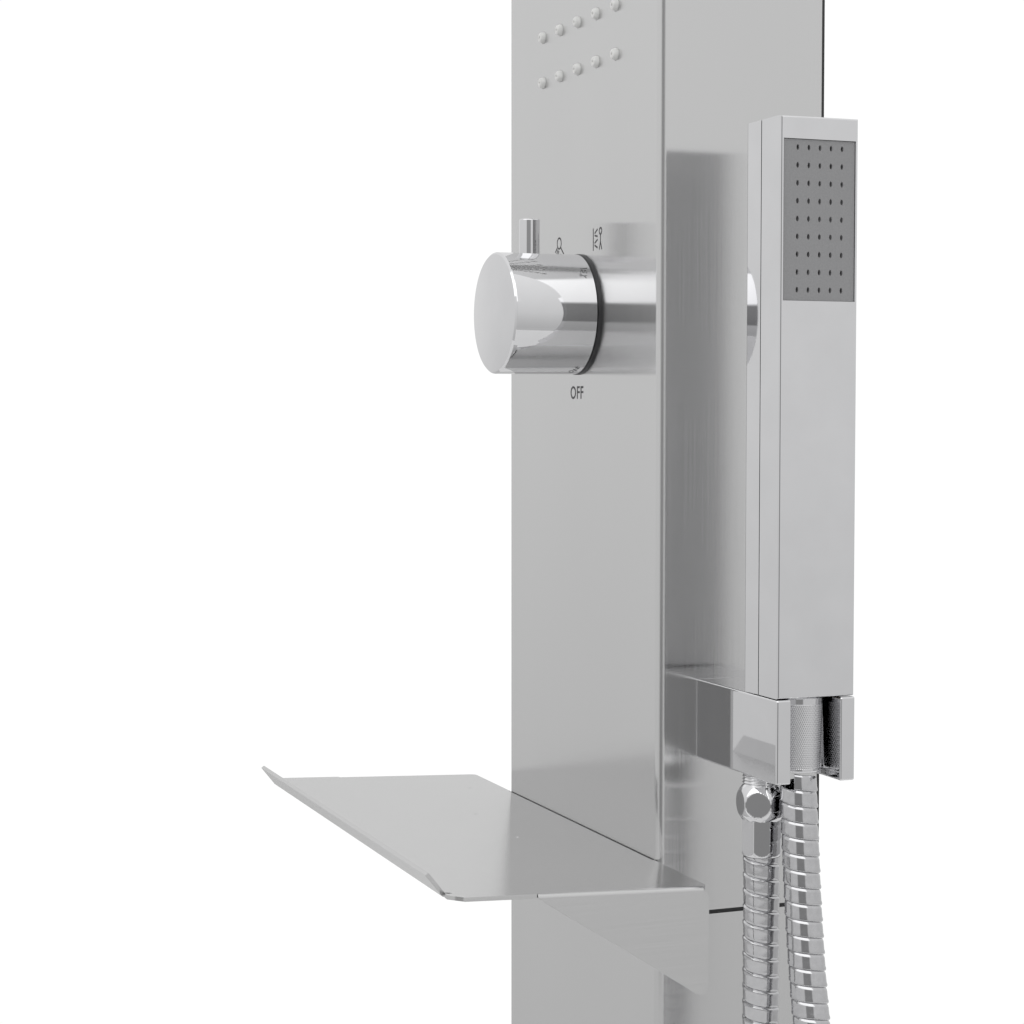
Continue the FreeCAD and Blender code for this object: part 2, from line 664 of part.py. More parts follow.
# ---------------------------------------------------------------- hose
def hose():
    """The hose hangs from the outlet in a long loop and comes back up to the handset's conical nut."""
    front = -size("column_depth") - size("gasket")
    knob = size("knob_z")
    outlet = (size("outlet_x"), front + size("outlet_y"), knob + size("holder_z0") - 31.4)
    cone_end = (size("slot_x"), front + size("slot_y"), knob + size("holder_z1") - 28.8)
    left_leg = [(118.2, -46.3, -839.6), (119, -46.8, -926.4), (118.8, -47.5, -1027.4),
                (118.6, -48.3, -1124.4), (116.8, -48.2, -1209.2)]
    loop = [(98.7, -47.9, -1278.9), (73.7, -47.4, -1329.4), (65.3, -46.9, -1385.3), (91.6, -46.2, -1434.1),
            (141.3, -45.4, -1454.9)]
    rise = [(192.4, -43.8, -1438.7), (222.8, -42.5, -1392.5), (219.6, -41.2, -1334.5),
            (210.7, -40.2, -1255.7), (198.2, -37.9, -1156.7), (183.3, -36.9, -1051.7),
            (167.4, -36.2, -950.7), (147.8, -36.5, -861.8)]
    neck = [(134.3, -37.7, -794.1)]
    corners = [outlet, *left_leg, *loop, *rise, *neck, cone_end]
    runs = [math.dist(a, b) for a, b in zip(corners, corners[1:])]
    radii = []
    for before, corner, after, run_in, run_out in zip(corners, corners[1:], corners[2:], runs, runs[1:]):
        into = Vector(*corner) - Vector(*before)
        out = Vector(*after) - Vector(*corner)
        radii.append(0.45 * min(run_in, run_out) / math.tan(into.getAngle(out) / 2))
    item, length = pipe("shower_hose", corners, radii, size("hose_radius"))
    print("hose radii", [round(radius) for radius in radii])
    print("hose runs", [round(run) for run in runs])
    print("hose length", round(length, 1), "volume ratio",
          round(item.Shape.Volume / (math.pi * size("hose_radius") ** 2 * length), 5))
    node("shower_hose", item)


# ---------------------------------------------------------------- handset
def handset():
    wide_y = (f"{FRONT} + handset_y0", f"{FRONT} + handset_y1")
    tall = (HANDSET_Z, "knob_z + handset_top")
    wall_y = (f"{wide_y[0]} + handset_wall", f"{wide_y[1]} - handset_wall")
    wall_z = (f"{tall[0]} + handset_wall", f"{tall[1]} - handset_wall")
    stem_hole = (f"{tall[0]} - 1", f"{tall[0]} + handset_wall + 1")

    back = box("back_block", ("handset_x0", "handset_split"), wide_y, tall)
    back_hollow = box("back_hollow", ("handset_x0 + handset_wall", "handset_split + 1"), wall_y, wall_z)
    back_stem = rod("back_stem", "slot_x", SLOT_Y, stem_hole, "6.4 + 0")
    node("handset_back_shell", cut("handset_back_shell", back, back_hollow, back_stem))

    front = box("front_block", ("handset_split", "handset_x1"), wide_y, tall)
    front_hollow = box("front_hollow", ("handset_split - 1", "handset_x1 - handset_wall"), wall_y, wall_z)
    window_y = (f"{wide_y[0]} + 1.2", f"{wide_y[1]} - 1.2")
    window_z = ("knob_z + plate_z0", "knob_z + plate_z1")
    window = box("front_window", ("handset_x1 - 4", "handset_x1 + 1"), window_y, window_z)
    front_stem = rod("front_stem", "slot_x", SLOT_Y, stem_hole, "6.4 + 0")
    node("handset_front_shell", cut("handset_front_shell", front, front_hollow, window, front_stem))

    plate = new_body("handset_spray_plate")
    face = sketch(plate, "spray_face", "YZ_Plane", "handset_x1 - plate_inset - 1.5")
    rectangle(face, window_y, window_z)
    pad(plate, face, "1.5 + 0")
    middle = f"{FRONT} + (handset_y0 + handset_y1) / 2"
    first = sketch(plate, "spray_hole", "YZ_Plane", "handset_x1 - plate_inset - 2")
    circle(first, f"{middle} + 0.3 - 2 * hole_pitch_y", "knob_z + plate_z0 + 3.9", "0.65 + 0")
    hole = pocket(plate, first, "3 + 0")
    grid(plate, hole, "5", "hole_pitch_y", "9", "hole_pitch_z", across="Y_Axis")
    node("handset_spray_plate", plate)

    behind = "handset_x1 - plate_inset - 1.5"
    mat = box("spray_mat", (f"{behind} - 1.5", behind), (f"{wall_y[0]}", f"{wall_y[1]}"), window_z)
    node("handset_nozzle_mat", mat)
    chamber = box("chamber", ("handset_split + 1", f"{behind} - 1.5"), wall_y, window_z)
    chamber_hollow = box("chamber_hollow", ("handset_split + 2.5", f"{behind} - 1"),
                         (f"{wall_y[0]} + 1.5", f"{wall_y[1]} - 1.5"),
                         ("knob_z + plate_z0 + 1.5", "knob_z + plate_z1 - 1.5"))
    inlet_z = ("knob_z + plate_z0 - 1", "knob_z + plate_z0 + 2")
    chamber_inlet = rod("chamber_inlet", "slot_x + 3", SLOT_Y, inlet_z, "3 + 0")
    node("handset_chamber", cut("handset_chamber", chamber, chamber_hollow, chamber_inlet))
    tube = rod("water_tube", "slot_x + 3", SLOT_Y, (f"{tall[0]} + 8", "knob_z + plate_z0"), "4.5 + 0")
    tube_bore_z = (f"{tall[0]} + 7", "knob_z + plate_z0 + 1")
    tube_bore = rod("water_tube_bore", "slot_x + 3", SLOT_Y, tube_bore_z, "3 + 0")
    node("handset_water_tube", cut("handset_water_tube", tube, tube_bore))
    stem = rod("stem", "slot_x", SLOT_Y, (f"{tall[0]} - 13", f"{tall[0]} + handset_wall"), "6.4 + 0")
    foot = rod("stem_foot", "slot_x", SLOT_Y, (f"{tall[0]} + handset_wall", f"{tall[0]} + 8"), "9 + 0")
    stem_bore = rod("stem_bore", "slot_x", SLOT_Y, (f"{tall[0]} - 14", f"{tall[0]} + 9"), "3.5 + 0")
    node("handset_stem", cut("handset_stem", fuse("stem_solid", stem, foot), stem_bore))


def cone_nut():
    top = f"({HANDSET_Z} - 0.6)"
    foot = f"({HANDSET_Z} - 28.4)"
    outer = cone("cone_outer", "slot_x", SLOT_Y, (foot, top), "8 + 0", "8.9 + 0")
    thread = rod("cone_thread", "slot_x", SLOT_Y, (f"{top} - 16", f"{top} + 1"), "6.45 + 0")
    throat = rod("cone_throat", "slot_x", SLOT_Y, (f"{foot} - 1", f"{top} - 15"), "5 + 0")
    node("hose_cone_nut", cut("hose_cone_nut", outer, thread, throat))
    washer = rod("cone_seal", "slot_x", SLOT_Y, (f"{top} - 16", f"{top} - 14.2"), "6.45 + 0")
    washer_bore = rod("cone_seal_bore", "slot_x", SLOT_Y, (f"{top} - 17", f"{top} - 13"), "3.5 + 0")
    node("cone_nut_washer", cut("cone_nut_washer", washer, washer_bore))


# ---------------------------------------------------------------- shelf
def shelf():
    body = new_body("shelf")
    side = "(shelf_width / 2)"
    top = "(knob_z + shelf_z)"
    face = FRONT
    edge = f"({FRONT} - shelf_depth)"
    profile = sketch(body, "shelf_profile", "YZ_Plane", f"-{side}")
    outline(profile, [
        (face, top), (edge, f"{top} + shelf_rise"), (f"{edge} - lip_out", f"{top} + shelf_rise + lip_up"),
        (f"{edge} - lip_out - shelf_sheet * 0.79", f"{top} + shelf_rise + lip_up - shelf_sheet * 0.62"),
        (f"{edge} - 0.8", f"{top} + shelf_rise - shelf_sheet"),
        (f"{face} - shelf_sheet", f"{top} - shelf_sheet"),
        (f"{face} - shelf_sheet", f"{top} - shelf_flange"), (face, f"{top} - shelf_flange"),
    ])
    pad(body, profile, "shelf_width")
    for index, reach in ((0, (SIDE, f"{side} + 1")), (1, (f"-{side} - 1", f"-{SIDE}"))):
        trim = sketch(body, f"flange_trim{index}", "XZ_Plane", f"-{face} - 1")
        rectangle(trim, reach, (f"{top} - shelf_flange - 1", f"{top} - shelf_sheet - 0.2"))
        pocket(body, trim, "shelf_sheet + 2")
    for index, start in enumerate((f"-{side}", f"{side} - shelf_sheet")):
        web = sketch(body, f"gusset{index}", "YZ_Plane", start)
        outline(web, [
            (face, f"{top} - 0.5"), (f"{face} - gusset_out", f"{top} - 0.5 + shelf_rise * 0.65"),
            (f"{face} - gusset_out", f"{top} - shelf_sheet + shelf_rise * 0.65"),
            (f"{face} - 3", f"{top} - gusset_drop + 0.6"), (face, f"{top} - gusset_drop"),
        ])
        pad(body, web, "shelf_sheet")
    for side_sign in (-1, 1):
        hole = sketch(body, "shelf_screw_hole", "XZ_Plane", f"-{face} - 1")
        circle(hole, f"{side_sign} * 55", f"{top} - 12", "2.6 + 0")
        pocket(body, hole, "shelf_sheet + 2")
    node("shelf", body)

    screws, nuts = [], []
    for side_sign in (-1, 1):
        x = f"{side_sign} * 55"
        z = f"{top} - 12"
        head_y = (f"{FRONT} - shelf_sheet - 2.4", f"{FRONT} - shelf_sheet")
        head = rod("shelf_screw_head", x, head_y, z, "4.6 + 0")
        shank = rod("shelf_screw_shank", x, (f"{FRONT} - shelf_sheet", f"{FRONT} + 12"), z, "2.5 + 0")
        socket_y = (f"{FRONT} - shelf_sheet - 3", f"{FRONT} - shelf_sheet - 1")
        socket = prism("shelf_screw_socket", x, socket_y, z, "1.7 + 0")
        screws.append(cut("shelf_screw", fuse("shelf_screw_solid", head, shank), socket))
        barrel = rod("rivet_nut_barrel", x, (FRONT, f"{FRONT} + 10"), z, "4 + 0")
        rim = rod("rivet_nut_rim", x, (INNER_FRONT, f"{INNER_FRONT} + 2.5"), z, "5.5 + 0")
        bore = rod("rivet_nut_bore", x, (f"{FRONT} - 1", f"{FRONT} + 11"), z, "2.5 + 0")
        nuts.append(cut("rivet_nut", fuse("rivet_nut_solid", barrel, rim), bore))
    node("shelf_screws", group("shelf_screws", screws))
    node("shelf_rivet_nuts", group("shelf_rivet_nuts", nuts))


# ---------------------------------------------------------------- water inlet and feed pipes
def water_way():
    thread = rod("inlet_thread", "0 + 0", PIPE_Y, (f"{FOOT} - 16", f"{FOOT} - 3"), "thread_half")
    collar = rod("inlet_collar", "0 + 0", PIPE_Y, (f"{FOOT} - 3", FOOT), "14 + 0")
    tail = rod("inlet_tail", "0 + 0", PIPE_Y, (FOOT, f"{FOOT} + 26"), "10 + 0")
    nipple_bore = rod("inlet_bore", "0 + 0", PIPE_Y, (f"{FOOT} - 17", f"{FOOT} + 27"), "7 + 0")
    node("inlet_nipple", cut("inlet_nipple", fuse("inlet_solid", thread, collar, tail), nipple_bore))
    hexagon = prism("inlet_hexagon", "0 + 0", PIPE_Y, (f"{FOOT} + 1.5", f"{FOOT} + 8.5"), "16 + 0")
    nut_bore = rod("inlet_nut_bore", "0 + 0", PIPE_Y, (f"{FOOT} + 1", f"{FOOT} + 9"), "10 + 0")
    node("inlet_lock_nut", cut("inlet_lock_nut", hexagon, nut_bore))

    front = -size("column_depth") - size("gasket")
    line = front + size("pipe_y")
    knob = size("knob_z")
    foot = knob + size("column_foot")
    outer = size("pipe_radius")
    bore = outer - 1.2

    supply, _ = pipe("supply", [(0, line, foot + 26), (0, line, knob - 36)], [], 7, bore)
    node("inlet_pipe", supply)

    floor = knob + size("column_top") + size("sheet") + 2
    tray_back = -size("head_reach") + size("rain_front") + (size("rain_rows") - 1) * size("rain_pitch") + 14
    rain_line = [(-20, line, knob + 36), (-20, line, knob + 380), (0, line, knob + 440), (0, line, floor + 8),
                 (0, tray_back, floor + 8)]
    rain, _ = pipe("rain_line", rain_line, [60, 60, 14], outer, bore)
    node("rain_feed_pipe", rain)

    jets_z = knob + size("jet_low") + 1
    manifold_back = front + size("sheet") + 17
    jet_line = [(20, line, knob + 36), (20, line, jets_z), (20, manifold_back, jets_z)]
    jets, _ = pipe("jet_line", jet_line, [14], outer, bore)
    node("jet_feed_pipe", jets)

    shank_x = size("column_width") / 2 - 17
    shank_z = knob + size("shank_z")
    handset_line = [(40, line, knob), (54, line, knob), (54, line, knob - 90), (46, line, knob - 130),
                    (46, line, shank_z), (shank_x, line, shank_z)]
    feed, _ = pipe("handset_line", handset_line, [12, 30, 30, 12], outer, bore)
    node("handset_feed_pipe", feed)

    unions = []
    for x, z in (("0 + 0", "knob_z - 36"), ("-20 + 0", "knob_z + 36"), ("20 + 0", "knob_z + 36")):
        hexagon = prism("union_hexagon", x, PIPE_Y, (f"{z} - 5", f"{z} + 5"), "12.5 + 0")
        hollow = rod("union_bore", x, PIPE_Y, (f"{z} - 6", f"{z} + 6"), "9 + 0")
        unions.append(cut("union", hexagon, hollow))
    node("union_nuts", group("union_nuts", unions))


# ---------------------------------------------------------------- build, check and write
column()
wall_fixing("upper", "0")
wall_fixing("lower", "lower_bracket_z")
rain_head()
body_jets()
control()
holder()
hose()
handset()
cone_nut()
shelf()
water_way()
doc.recompute()

for item in doc.Objects:
    if {"Invalid", "Error"} & set(item.State):
        raise ValueError(f"{item.Name} ({item.Label}) is {item.State}")
for item in nodes:
    if item.Shape.isNull() or not item.Shape.isValid() or not item.Shape.Solids:
        raise ValueError(f"{item.Label} has no valid solid")

os.makedirs("parts", exist_ok=True)
for item in nodes:
    item.Shape.exportStep(f"parts/{item.Label}.step")
print(len(nodes), "nodes")
for item in nodes:
    bounds = item.Shape.BoundBox
    print(f"{item.Label:22s} solids {len(item.Shape.Solids)}  volume {item.Shape.Volume:10.0f}  "
          f"z {bounds.ZMin:8.1f} {bounds.ZMax:8.1f}")
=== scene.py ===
"""Looks of the rainfall shower column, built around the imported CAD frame. Metres, in the frame's axes."""

import json
import math

import bmesh
import bpy
from mathutils import Matrix, Vector


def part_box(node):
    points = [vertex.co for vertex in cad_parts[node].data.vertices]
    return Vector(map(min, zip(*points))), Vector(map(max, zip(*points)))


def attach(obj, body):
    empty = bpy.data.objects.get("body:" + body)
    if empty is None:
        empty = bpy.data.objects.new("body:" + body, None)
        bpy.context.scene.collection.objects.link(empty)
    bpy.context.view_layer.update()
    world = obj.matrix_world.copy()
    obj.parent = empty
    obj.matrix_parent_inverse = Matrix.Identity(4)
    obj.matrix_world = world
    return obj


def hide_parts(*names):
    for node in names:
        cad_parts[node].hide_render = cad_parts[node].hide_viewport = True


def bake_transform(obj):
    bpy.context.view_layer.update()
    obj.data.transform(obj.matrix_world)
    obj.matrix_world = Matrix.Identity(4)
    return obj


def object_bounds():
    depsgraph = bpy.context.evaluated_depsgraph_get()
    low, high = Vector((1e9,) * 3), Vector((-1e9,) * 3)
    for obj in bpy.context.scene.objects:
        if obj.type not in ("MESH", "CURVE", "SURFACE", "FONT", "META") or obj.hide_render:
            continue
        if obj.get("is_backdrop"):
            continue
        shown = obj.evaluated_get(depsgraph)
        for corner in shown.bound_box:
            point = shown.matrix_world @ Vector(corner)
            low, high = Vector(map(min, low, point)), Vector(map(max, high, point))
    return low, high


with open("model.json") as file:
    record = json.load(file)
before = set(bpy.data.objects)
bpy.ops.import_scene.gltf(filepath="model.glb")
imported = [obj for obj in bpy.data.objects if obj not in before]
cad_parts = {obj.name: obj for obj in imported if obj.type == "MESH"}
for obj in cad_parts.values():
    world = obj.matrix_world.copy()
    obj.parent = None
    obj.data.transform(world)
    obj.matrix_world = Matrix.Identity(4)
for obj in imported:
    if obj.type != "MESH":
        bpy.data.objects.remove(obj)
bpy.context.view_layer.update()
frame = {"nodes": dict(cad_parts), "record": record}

MM = 0.001
TAU = math.tau
scene = bpy.context.scene
scene.view_settings.view_transform = "Standard"


# ---------------------------------------------------------------- camera
def camera():
    """The main view: from the column's right, near the knob's height, through a long lens."""
    data = bpy.data.cameras.new("camera")
    data.sensor_width = 36
    data.lens = 72.29
    item = bpy.data.objects.new("camera", data)
    scene.collection.objects.link(item)
    knob = sum(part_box("knob_ring"), Vector()) / 2
    item.location = (0.797, -0.4078, knob.z - 0.0405)
    item.rotation_euler = (math.radians(87.2), 0, math.radians(68.95))
    scene.camera = item


camera()


# ---------------------------------------------------------------- material nodes
def shader(name, tone, roughness, metallic=0.0):
    made = bpy.data.materials.new(name)
    made.use_nodes = True
    surface = made.node_tree.nodes["Principled BSDF"]
    surface.inputs["Base Color"].default_value = (*tone, 1)
    surface.inputs["Roughness"].default_value = roughness
    surface.inputs["Metallic"].default_value = metallic
    return made, surface


def add(tree, kind, **settings):
    made = tree.nodes.new(kind)
    for name, value in settings.items():
        setattr(made, name, value)
    return made


def noise(tree, scale, detail=3.0):
    """Noise over the object's own coordinates; scale is in features per metre along X, Y and Z."""
    place = add(tree, "ShaderNodeTexCoord")
    stretch = add(tree, "ShaderNodeMapping")
    stretch.inputs["Scale"].default_value = scale
    made = add(tree, "ShaderNodeTexNoise")
    made.inputs["Scale"].default_value = 1
    made.inputs["Detail"].default_value = detail
    tree.links.new(place.outputs["Object"], stretch.inputs["Vector"])
    tree.links.new(stretch.outputs["Vector"], made.inputs["Vector"])
    return made.outputs["Fac"]


def spread(tree, value, low, high):
    """Maps the middle of a noise's range to low..high."""
    made = add(tree, "ShaderNodeMapRange")
    made.inputs["From Min"].default_value = 0.3
    made.inputs["From Max"].default_value = 0.7
    made.inputs["To Min"].default_value = low
    made.inputs["To Max"].default_value = high
    tree.links.new(value, made.inputs["Value"])
    return made.outputs["Result"]


def tint(tree, surface, value, dark, light):
    made = add(tree, "ShaderNodeMix", data_type="RGBA")
    made.inputs["A"].default_value = (*dark, 1)
    made.inputs["B"].default_value = (*light, 1)
    tree.links.new(value, made.inputs["Factor"])
    tree.links.new(made.outputs["Result"], surface.inputs["Base Color"])


def bump(tree, surface, value, height):
    made = add(tree, "ShaderNodeBump")
    made.inputs["Distance"].default_value = height
    tree.links.new(value, made.inputs["Height"])
    tree.links.new(made.outputs["Normal"], surface.inputs["Normal"])


def mottled(name, tone, roughness, metallic, scale, contrast, height=0.0):
    """A material whose tone, roughness and surface vary a little with one noise."""
    made, surface = shader(name, tone, roughness, metallic)
    tree = made.node_tree
    value = noise(tree, scale)
    share = spread(tree, value, 0, 1)
    dark = [channel * (1 - contrast) for channel in tone]
    light = [min(1, channel * (1 + contrast)) for channel in tone]
    tint(tree, surface, share, dark, light)
    tree.links.new(spread(tree, value, roughness * 0.8, roughness * 1.25), surface.inputs["Roughness"])
    if height:
        bump(tree, surface, value, height)
    return made


def brushed(name, tone, rough, stretch, around, contrast, height):
    """Steel with fine hairlines, which smear what it mirrors across them, and wide faint clouds."""
    made, surface = shader(name, (tone,) * 3, rough[0], 1.0)
    tree = made.node_tree
    hair = noise(tree, stretch, 2.0)
    cloud = noise(tree, (9, 9, 5), 2.0)
    mixed = add(tree, "ShaderNodeMix")
    mixed.inputs["Factor"].default_value = 0.5
    tree.links.new(hair, mixed.inputs["A"])
    tree.links.new(cloud, mixed.inputs["B"])
    share = spread(tree, mixed.outputs["Result"], 0, 1)
    tint(tree, surface, share, (tone * (1 - contrast),) * 3, (tone * (1 + contrast),) * 3)
    tree.links.new(spread(tree, hair, *rough), surface.inputs["Roughness"])
    tangent = add(tree, "ShaderNodeTangent", direction_type="RADIAL", axis=around)
    tree.links.new(tangent.outputs["Tangent"], surface.inputs["Tangent"])
    surface.inputs["Anisotropic"].default_value = 0.95
    bump(tree, surface, hair, height)
    return made


MATERIALS = {
    "brushed_stainless": brushed("brushed_stainless", 0.62, (0.14, 0.2), (3600, 3600, 12), "Z", 0.025, 6e-7),
    "chrome": mottled("chrome", (0.67, 0.67, 0.68), 0.03, 1.0, (60, 60, 60), 0.02),
    "hose_chrome": mottled("hose_chrome", (0.5, 0.5, 0.51), 0.09, 1.0, (500, 500, 500), 0.05),
    "brass": mottled("brass", (0.72, 0.52, 0.22), 0.24, 1.0, (160, 160, 160), 0.08, 5e-6),
    "copper_pipe": mottled("copper_pipe", (0.72, 0.38, 0.25), 0.3, 1.0, (90, 90, 30), 0.12, 5e-6),
    "zinc_steel": mottled("zinc_steel", (0.5, 0.51, 0.52), 0.38, 1.0, (220, 220, 220), 0.12, 8e-6),
    "nozzle_silicone": mottled("nozzle_silicone", (0.66, 0.66, 0.65), 0.42, 0.0, (400, 400, 400), 0.05, 4e-6),
    "dark_silicone": mottled("dark_silicone", (0.03, 0.03, 0.03), 0.5, 0.0, (400, 400, 400), 0.1, 4e-6),
    "black_rubber": mottled("black_rubber", (0.025, 0.025, 0.025), 0.6, 0.0, (300, 300, 300), 0.15, 1e-5),
    "grey_plastic": mottled("grey_plastic", (0.25, 0.25, 0.255), 0.42, 0.0, (1500, 1500, 1500), 0.06, 1e-5),
    "white_plastic": mottled("white_plastic", (0.74, 0.74, 0.72), 0.4, 0.0, (300, 300, 300), 0.04, 6e-6),
    "black_plastic": mottled("black_plastic", (0.02, 0.02, 0.022), 0.4, 0.0, (700, 700, 700), 0.1, 5e-6),
}

# sheets that lie level, brushed from the wall outwards
LEVEL = brushed("brushed_level", 0.585, (0.14, 0.19), (3600, 14, 3600), "Y", 0.02, 5e-7)
LEVEL_NODES = ("shelf", "shelf_weld_marks", "rain_head_casing", "rain_head_plate", "bottom_cap")


def material(node, slot):
    return LEVEL if node in LEVEL_NODES else MATERIALS[slot]


for entry in frame["record"]["subparts"]:
    part = frame["nodes"][entry["node"]]
    part.data.materials.clear()
    part.data.materials.append(material(entry["node"], entry["material_slot"]))
    for polygon in part.data.polygons:
        polygon.use_smooth = True
    part.data.set_sharp_from_angle(angle=math.radians(25))


# ---------------------------------------------------------------- mesh helpers
def middle(node):
    low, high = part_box(node)
    return (low + high) / 2


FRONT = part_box("upper_casing")[0].y
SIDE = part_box("upper_casing")[1].x
KNOB_AXIS = middle("knob_spindle")


def piece(name, mesh, slot, body, *nodes, sharp=30):
    """Makes the object of a mesh, gives it its slot's material and lets it ride."""
    mesh.materials.append(material(nodes[0] if nodes else name, slot))
    for polygon in mesh.polygons:
        polygon.use_smooth = True
    mesh.set_sharp_from_angle(angle=math.radians(sharp))
    item = bpy.data.objects.new(name, mesh)
    scene.collection.objects.link(item)
    if body:
        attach(item, body)
    if nodes:
        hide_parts(*nodes)
    return item


def mesh_of(name, bm):
    bmesh.ops.recalc_face_normals(bm, faces=bm.faces)
    made = bpy.data.meshes.new(name)
    bm.to_mesh(made)
    bm.free()
    return made


def soften(item, width, segments=2, angle=40):
    made = item.modifiers.new("edges", "BEVEL")
    made.width = width
    made.segments = segments
    made.limit_method = "ANGLE"
    made.angle_limit = math.radians(angle)


def flatten(item):
    """Keeps wide faces flat to the light where they meet rounded edges."""
    made = item.modifiers.new("normals", "WEIGHTED_NORMAL")
    made.keep_sharp = True
    made.weight = 80


def pointing(axis, centre):
    """A function that places a point at a level along an axis and at a radius and an angle round it."""
    x, y, z = Vector((1, 0, 0)), Vector((0, 1, 0)), Vector((0, 0, 1))
    along, side, up = {"X": (x, y, z), "Y": (y, x, z), "Z": (z, x, y)}[axis]
    return lambda level, angle, radius: (
        centre + along * level + side * radius * math.cos(angle) + up * radius * math.sin(angle)
    )


def add_turned(bm, levels, radius, segments, place):
    """A round skin: radius(level, angle) at each level along the axis, closed where it starts and ends."""
    rings = []
    for level in levels:
        angles = [TAU * i / segments for i in range(segments)]
        rings.append([bm.verts.new(place(level, angle, radius(level, angle))) for angle in angles])
    for lower, upper in zip(rings, rings[1:]):
        for i in range(segments):
            bm.faces.new((lower[i], lower[(i + 1) % segments], upper[(i + 1) % segments], upper[i]))
    bm.faces.new(rings[0][::-1])
    bm.faces.new(rings[-1])


def add_lathe(bm, profile, segments, place):
    """A skin turned from a profile of (level, radius) points; a radius of 0 is the axis."""
    rings = []
    for level, radius in profile:
        count = segments if radius > 0 else 1
        rings.append([bm.verts.new(place(level, TAU * i / segments, radius)) for i in range(count)])
    for lower, upper in zip(rings, rings[1:]):
        for i in range(segments):
            corners = [lower[i % len(lower)], lower[(i + 1) % len(lower)],
                       upper[(i + 1) % len(upper)], upper[i % len(upper)]]
            corners = list(dict.fromkeys(corners))
            if len(corners) > 2:
                bm.faces.new(corners)


def lathed(name, profile, segments, place):
    bm = bmesh.new()
    add_lathe(bm, profile, segments, place)
    return mesh_of(name, bm)


def arc(centre, radius, first, last, steps):
    """Points round an arc, in degrees."""
    angles = [math.radians(first + (last - first) * i / steps) for i in range(steps + 1)]
    return [(centre[0] + radius * math.cos(a), centre[1] + radius * math.sin(a)) for a in angles]


def rounded(corners, steps=6):
    """A flat outline of (u, v, radius) corners, each rounded by its own radius."""
    outline = []
    count = len(corners)
    for i, (u, v, radius) in enumerate(corners):
        here = Vector((u, v))
        if not radius:
            outline.append(tuple(here))
            continue
        into = (Vector(corners[i - 1][:2]) - here).normalized()
        out = (Vector(corners[(i + 1) % count][:2]) - here).normalized()
        half = into.angle(out) / 2
        centre = here + (into + out).normalized() * (radius / math.sin(half))
        start = here + into * (radius / math.tan(half)) - centre
        turn = start.angle_signed(here + out * (radius / math.tan(half)) - centre)
        for k in range(steps + 1):
            spun = start.copy()
            spun.rotate(Matrix.Rotation(-turn * k / steps, 2))
            outline.append(tuple(centre + spun))
    return outline


def add_slab(bm, outline, low, high, place):
    """A plate with a flat outline between two depths; place(u, v, depth) puts a point in the frame."""
    ends = [[bm.verts.new(place(u, v, depth)) for u, v in outline] for depth in (low, high)]
    count = len(outline)
    for i in range(count):
        j = (i + 1) % count
        bm.faces.new((ends[0][i], ends[0][j], ends[1][j], ends[1][i]))
    bm.faces.new(ends[0][::-1])
    bm.faces.new(ends[1])


def facing_front(u, v, depth):
    return Vector((u, depth, v))


def facing_up(u, v, depth):
    return Vector((u, v, depth))


# ---------------------------------------------------------------- hose
HOSE_PITCH = 0.006
HOSE_SEGMENTS = 32
# share of a pitch and radius in mm, from the groove over the crest of one wrap to its tail
HOSE_WRAP = [(0.0, 6.3), (0.05, 6.72), (0.11, 6.98), (0.2, 7.0), (0.34, 6.8), (0.8, 6.74), (0.93, 6.6)]
HOSE_ROUTE = [
    (0.1177, -0.0461, -0.7667), (0.1182, -0.0463, -0.8396), (0.119, -0.0468, -0.9264),
    (0.1188, -0.0475, -1.0274), (0.1186, -0.0483, -1.1244), (0.1168, -0.0482, -1.2092),
    (0.0987, -0.0479, -1.2789), (0.0737, -0.0474, -1.3294), (0.0653, -0.0469, -1.3853),
    (0.0916, -0.0462, -1.4341), (0.1413, -0.0454, -1.4549), (0.1924, -0.0438, -1.4387),
    (0.2228, -0.0425, -1.3925), (0.2196, -0.0412, -1.3345), (0.2107, -0.0402, -1.2557),
    (0.1982, -0.0379, -1.1567), (0.1833, -0.0369, -1.0517), (0.1674, -0.0362, -0.9507),
    (0.1478, -0.0365, -0.8618), (0.1343, -0.0377, -0.7941), (0.1315, -0.0385, -0.7333),
]


def hose_line():
    """The hose's centreline: points read from a smooth spline through its route."""
    curve = bpy.data.curves.new("hose_route", "CURVE")
    curve.dimensions = "3D"
    curve.resolution_u = 40
    spline = curve.splines.new("NURBS")
    spline.points.add(len(HOSE_ROUTE) - 1)
    for point, place in zip(spline.points, HOSE_ROUTE):
        point.co = (*place, 1)
    spline.order_u = 3
    spline.use_endpoint_u = True
    holder = bpy.data.objects.new("hose_route", curve)
    scene.collection.objects.link(holder)
    bpy.context.view_layer.update()
    drawn = bpy.data.meshes.new_from_object(holder.evaluated_get(bpy.context.evaluated_depsgraph_get()))
    line = [vertex.co.copy() for vertex in drawn.vertices]
    bpy.data.objects.remove(holder)
    bpy.data.meshes.remove(drawn)
    return line


def walker(line):
    """A function that gives the point and the frame (tangent, side, up) at a length along the line."""
    lengths = [0.0]
    for a, b in zip(line, line[1:]):
        lengths.append(lengths[-1] + (b - a).length)
    total = lengths[-1]
    tangents = [(b - a).normalized() for a, b in zip(line, line[1:])]
    sides = [tangents[0].orthogonal().normalized()]
    for tangent in tangents[1:]:
        side = sides[-1] - tangent * sides[-1].dot(tangent)
        sides.append(side.normalized())

    def at(length):
        length = min(max(length, 0.0), total)
        low, high = 0, len(tangents) - 1
        while low < high:
            half = (low + high) // 2
            if lengths[half + 1] < length:
                low = half + 1
            else:
                high = half
        share = (length - lengths[low]) / max(1e-9, lengths[low + 1] - lengths[low])
        point = line[low].lerp(line[low + 1], share)
        after = min(low + 1, len(tangents) - 1)
        tangent = tangents[low].lerp(tangents[after], share).normalized()
        side = sides[low].lerp(sides[after], share)
        side = (side - tangent * side.dot(tangent)).normalized()
        return point, side, tangent.cross(side)

    return at, total


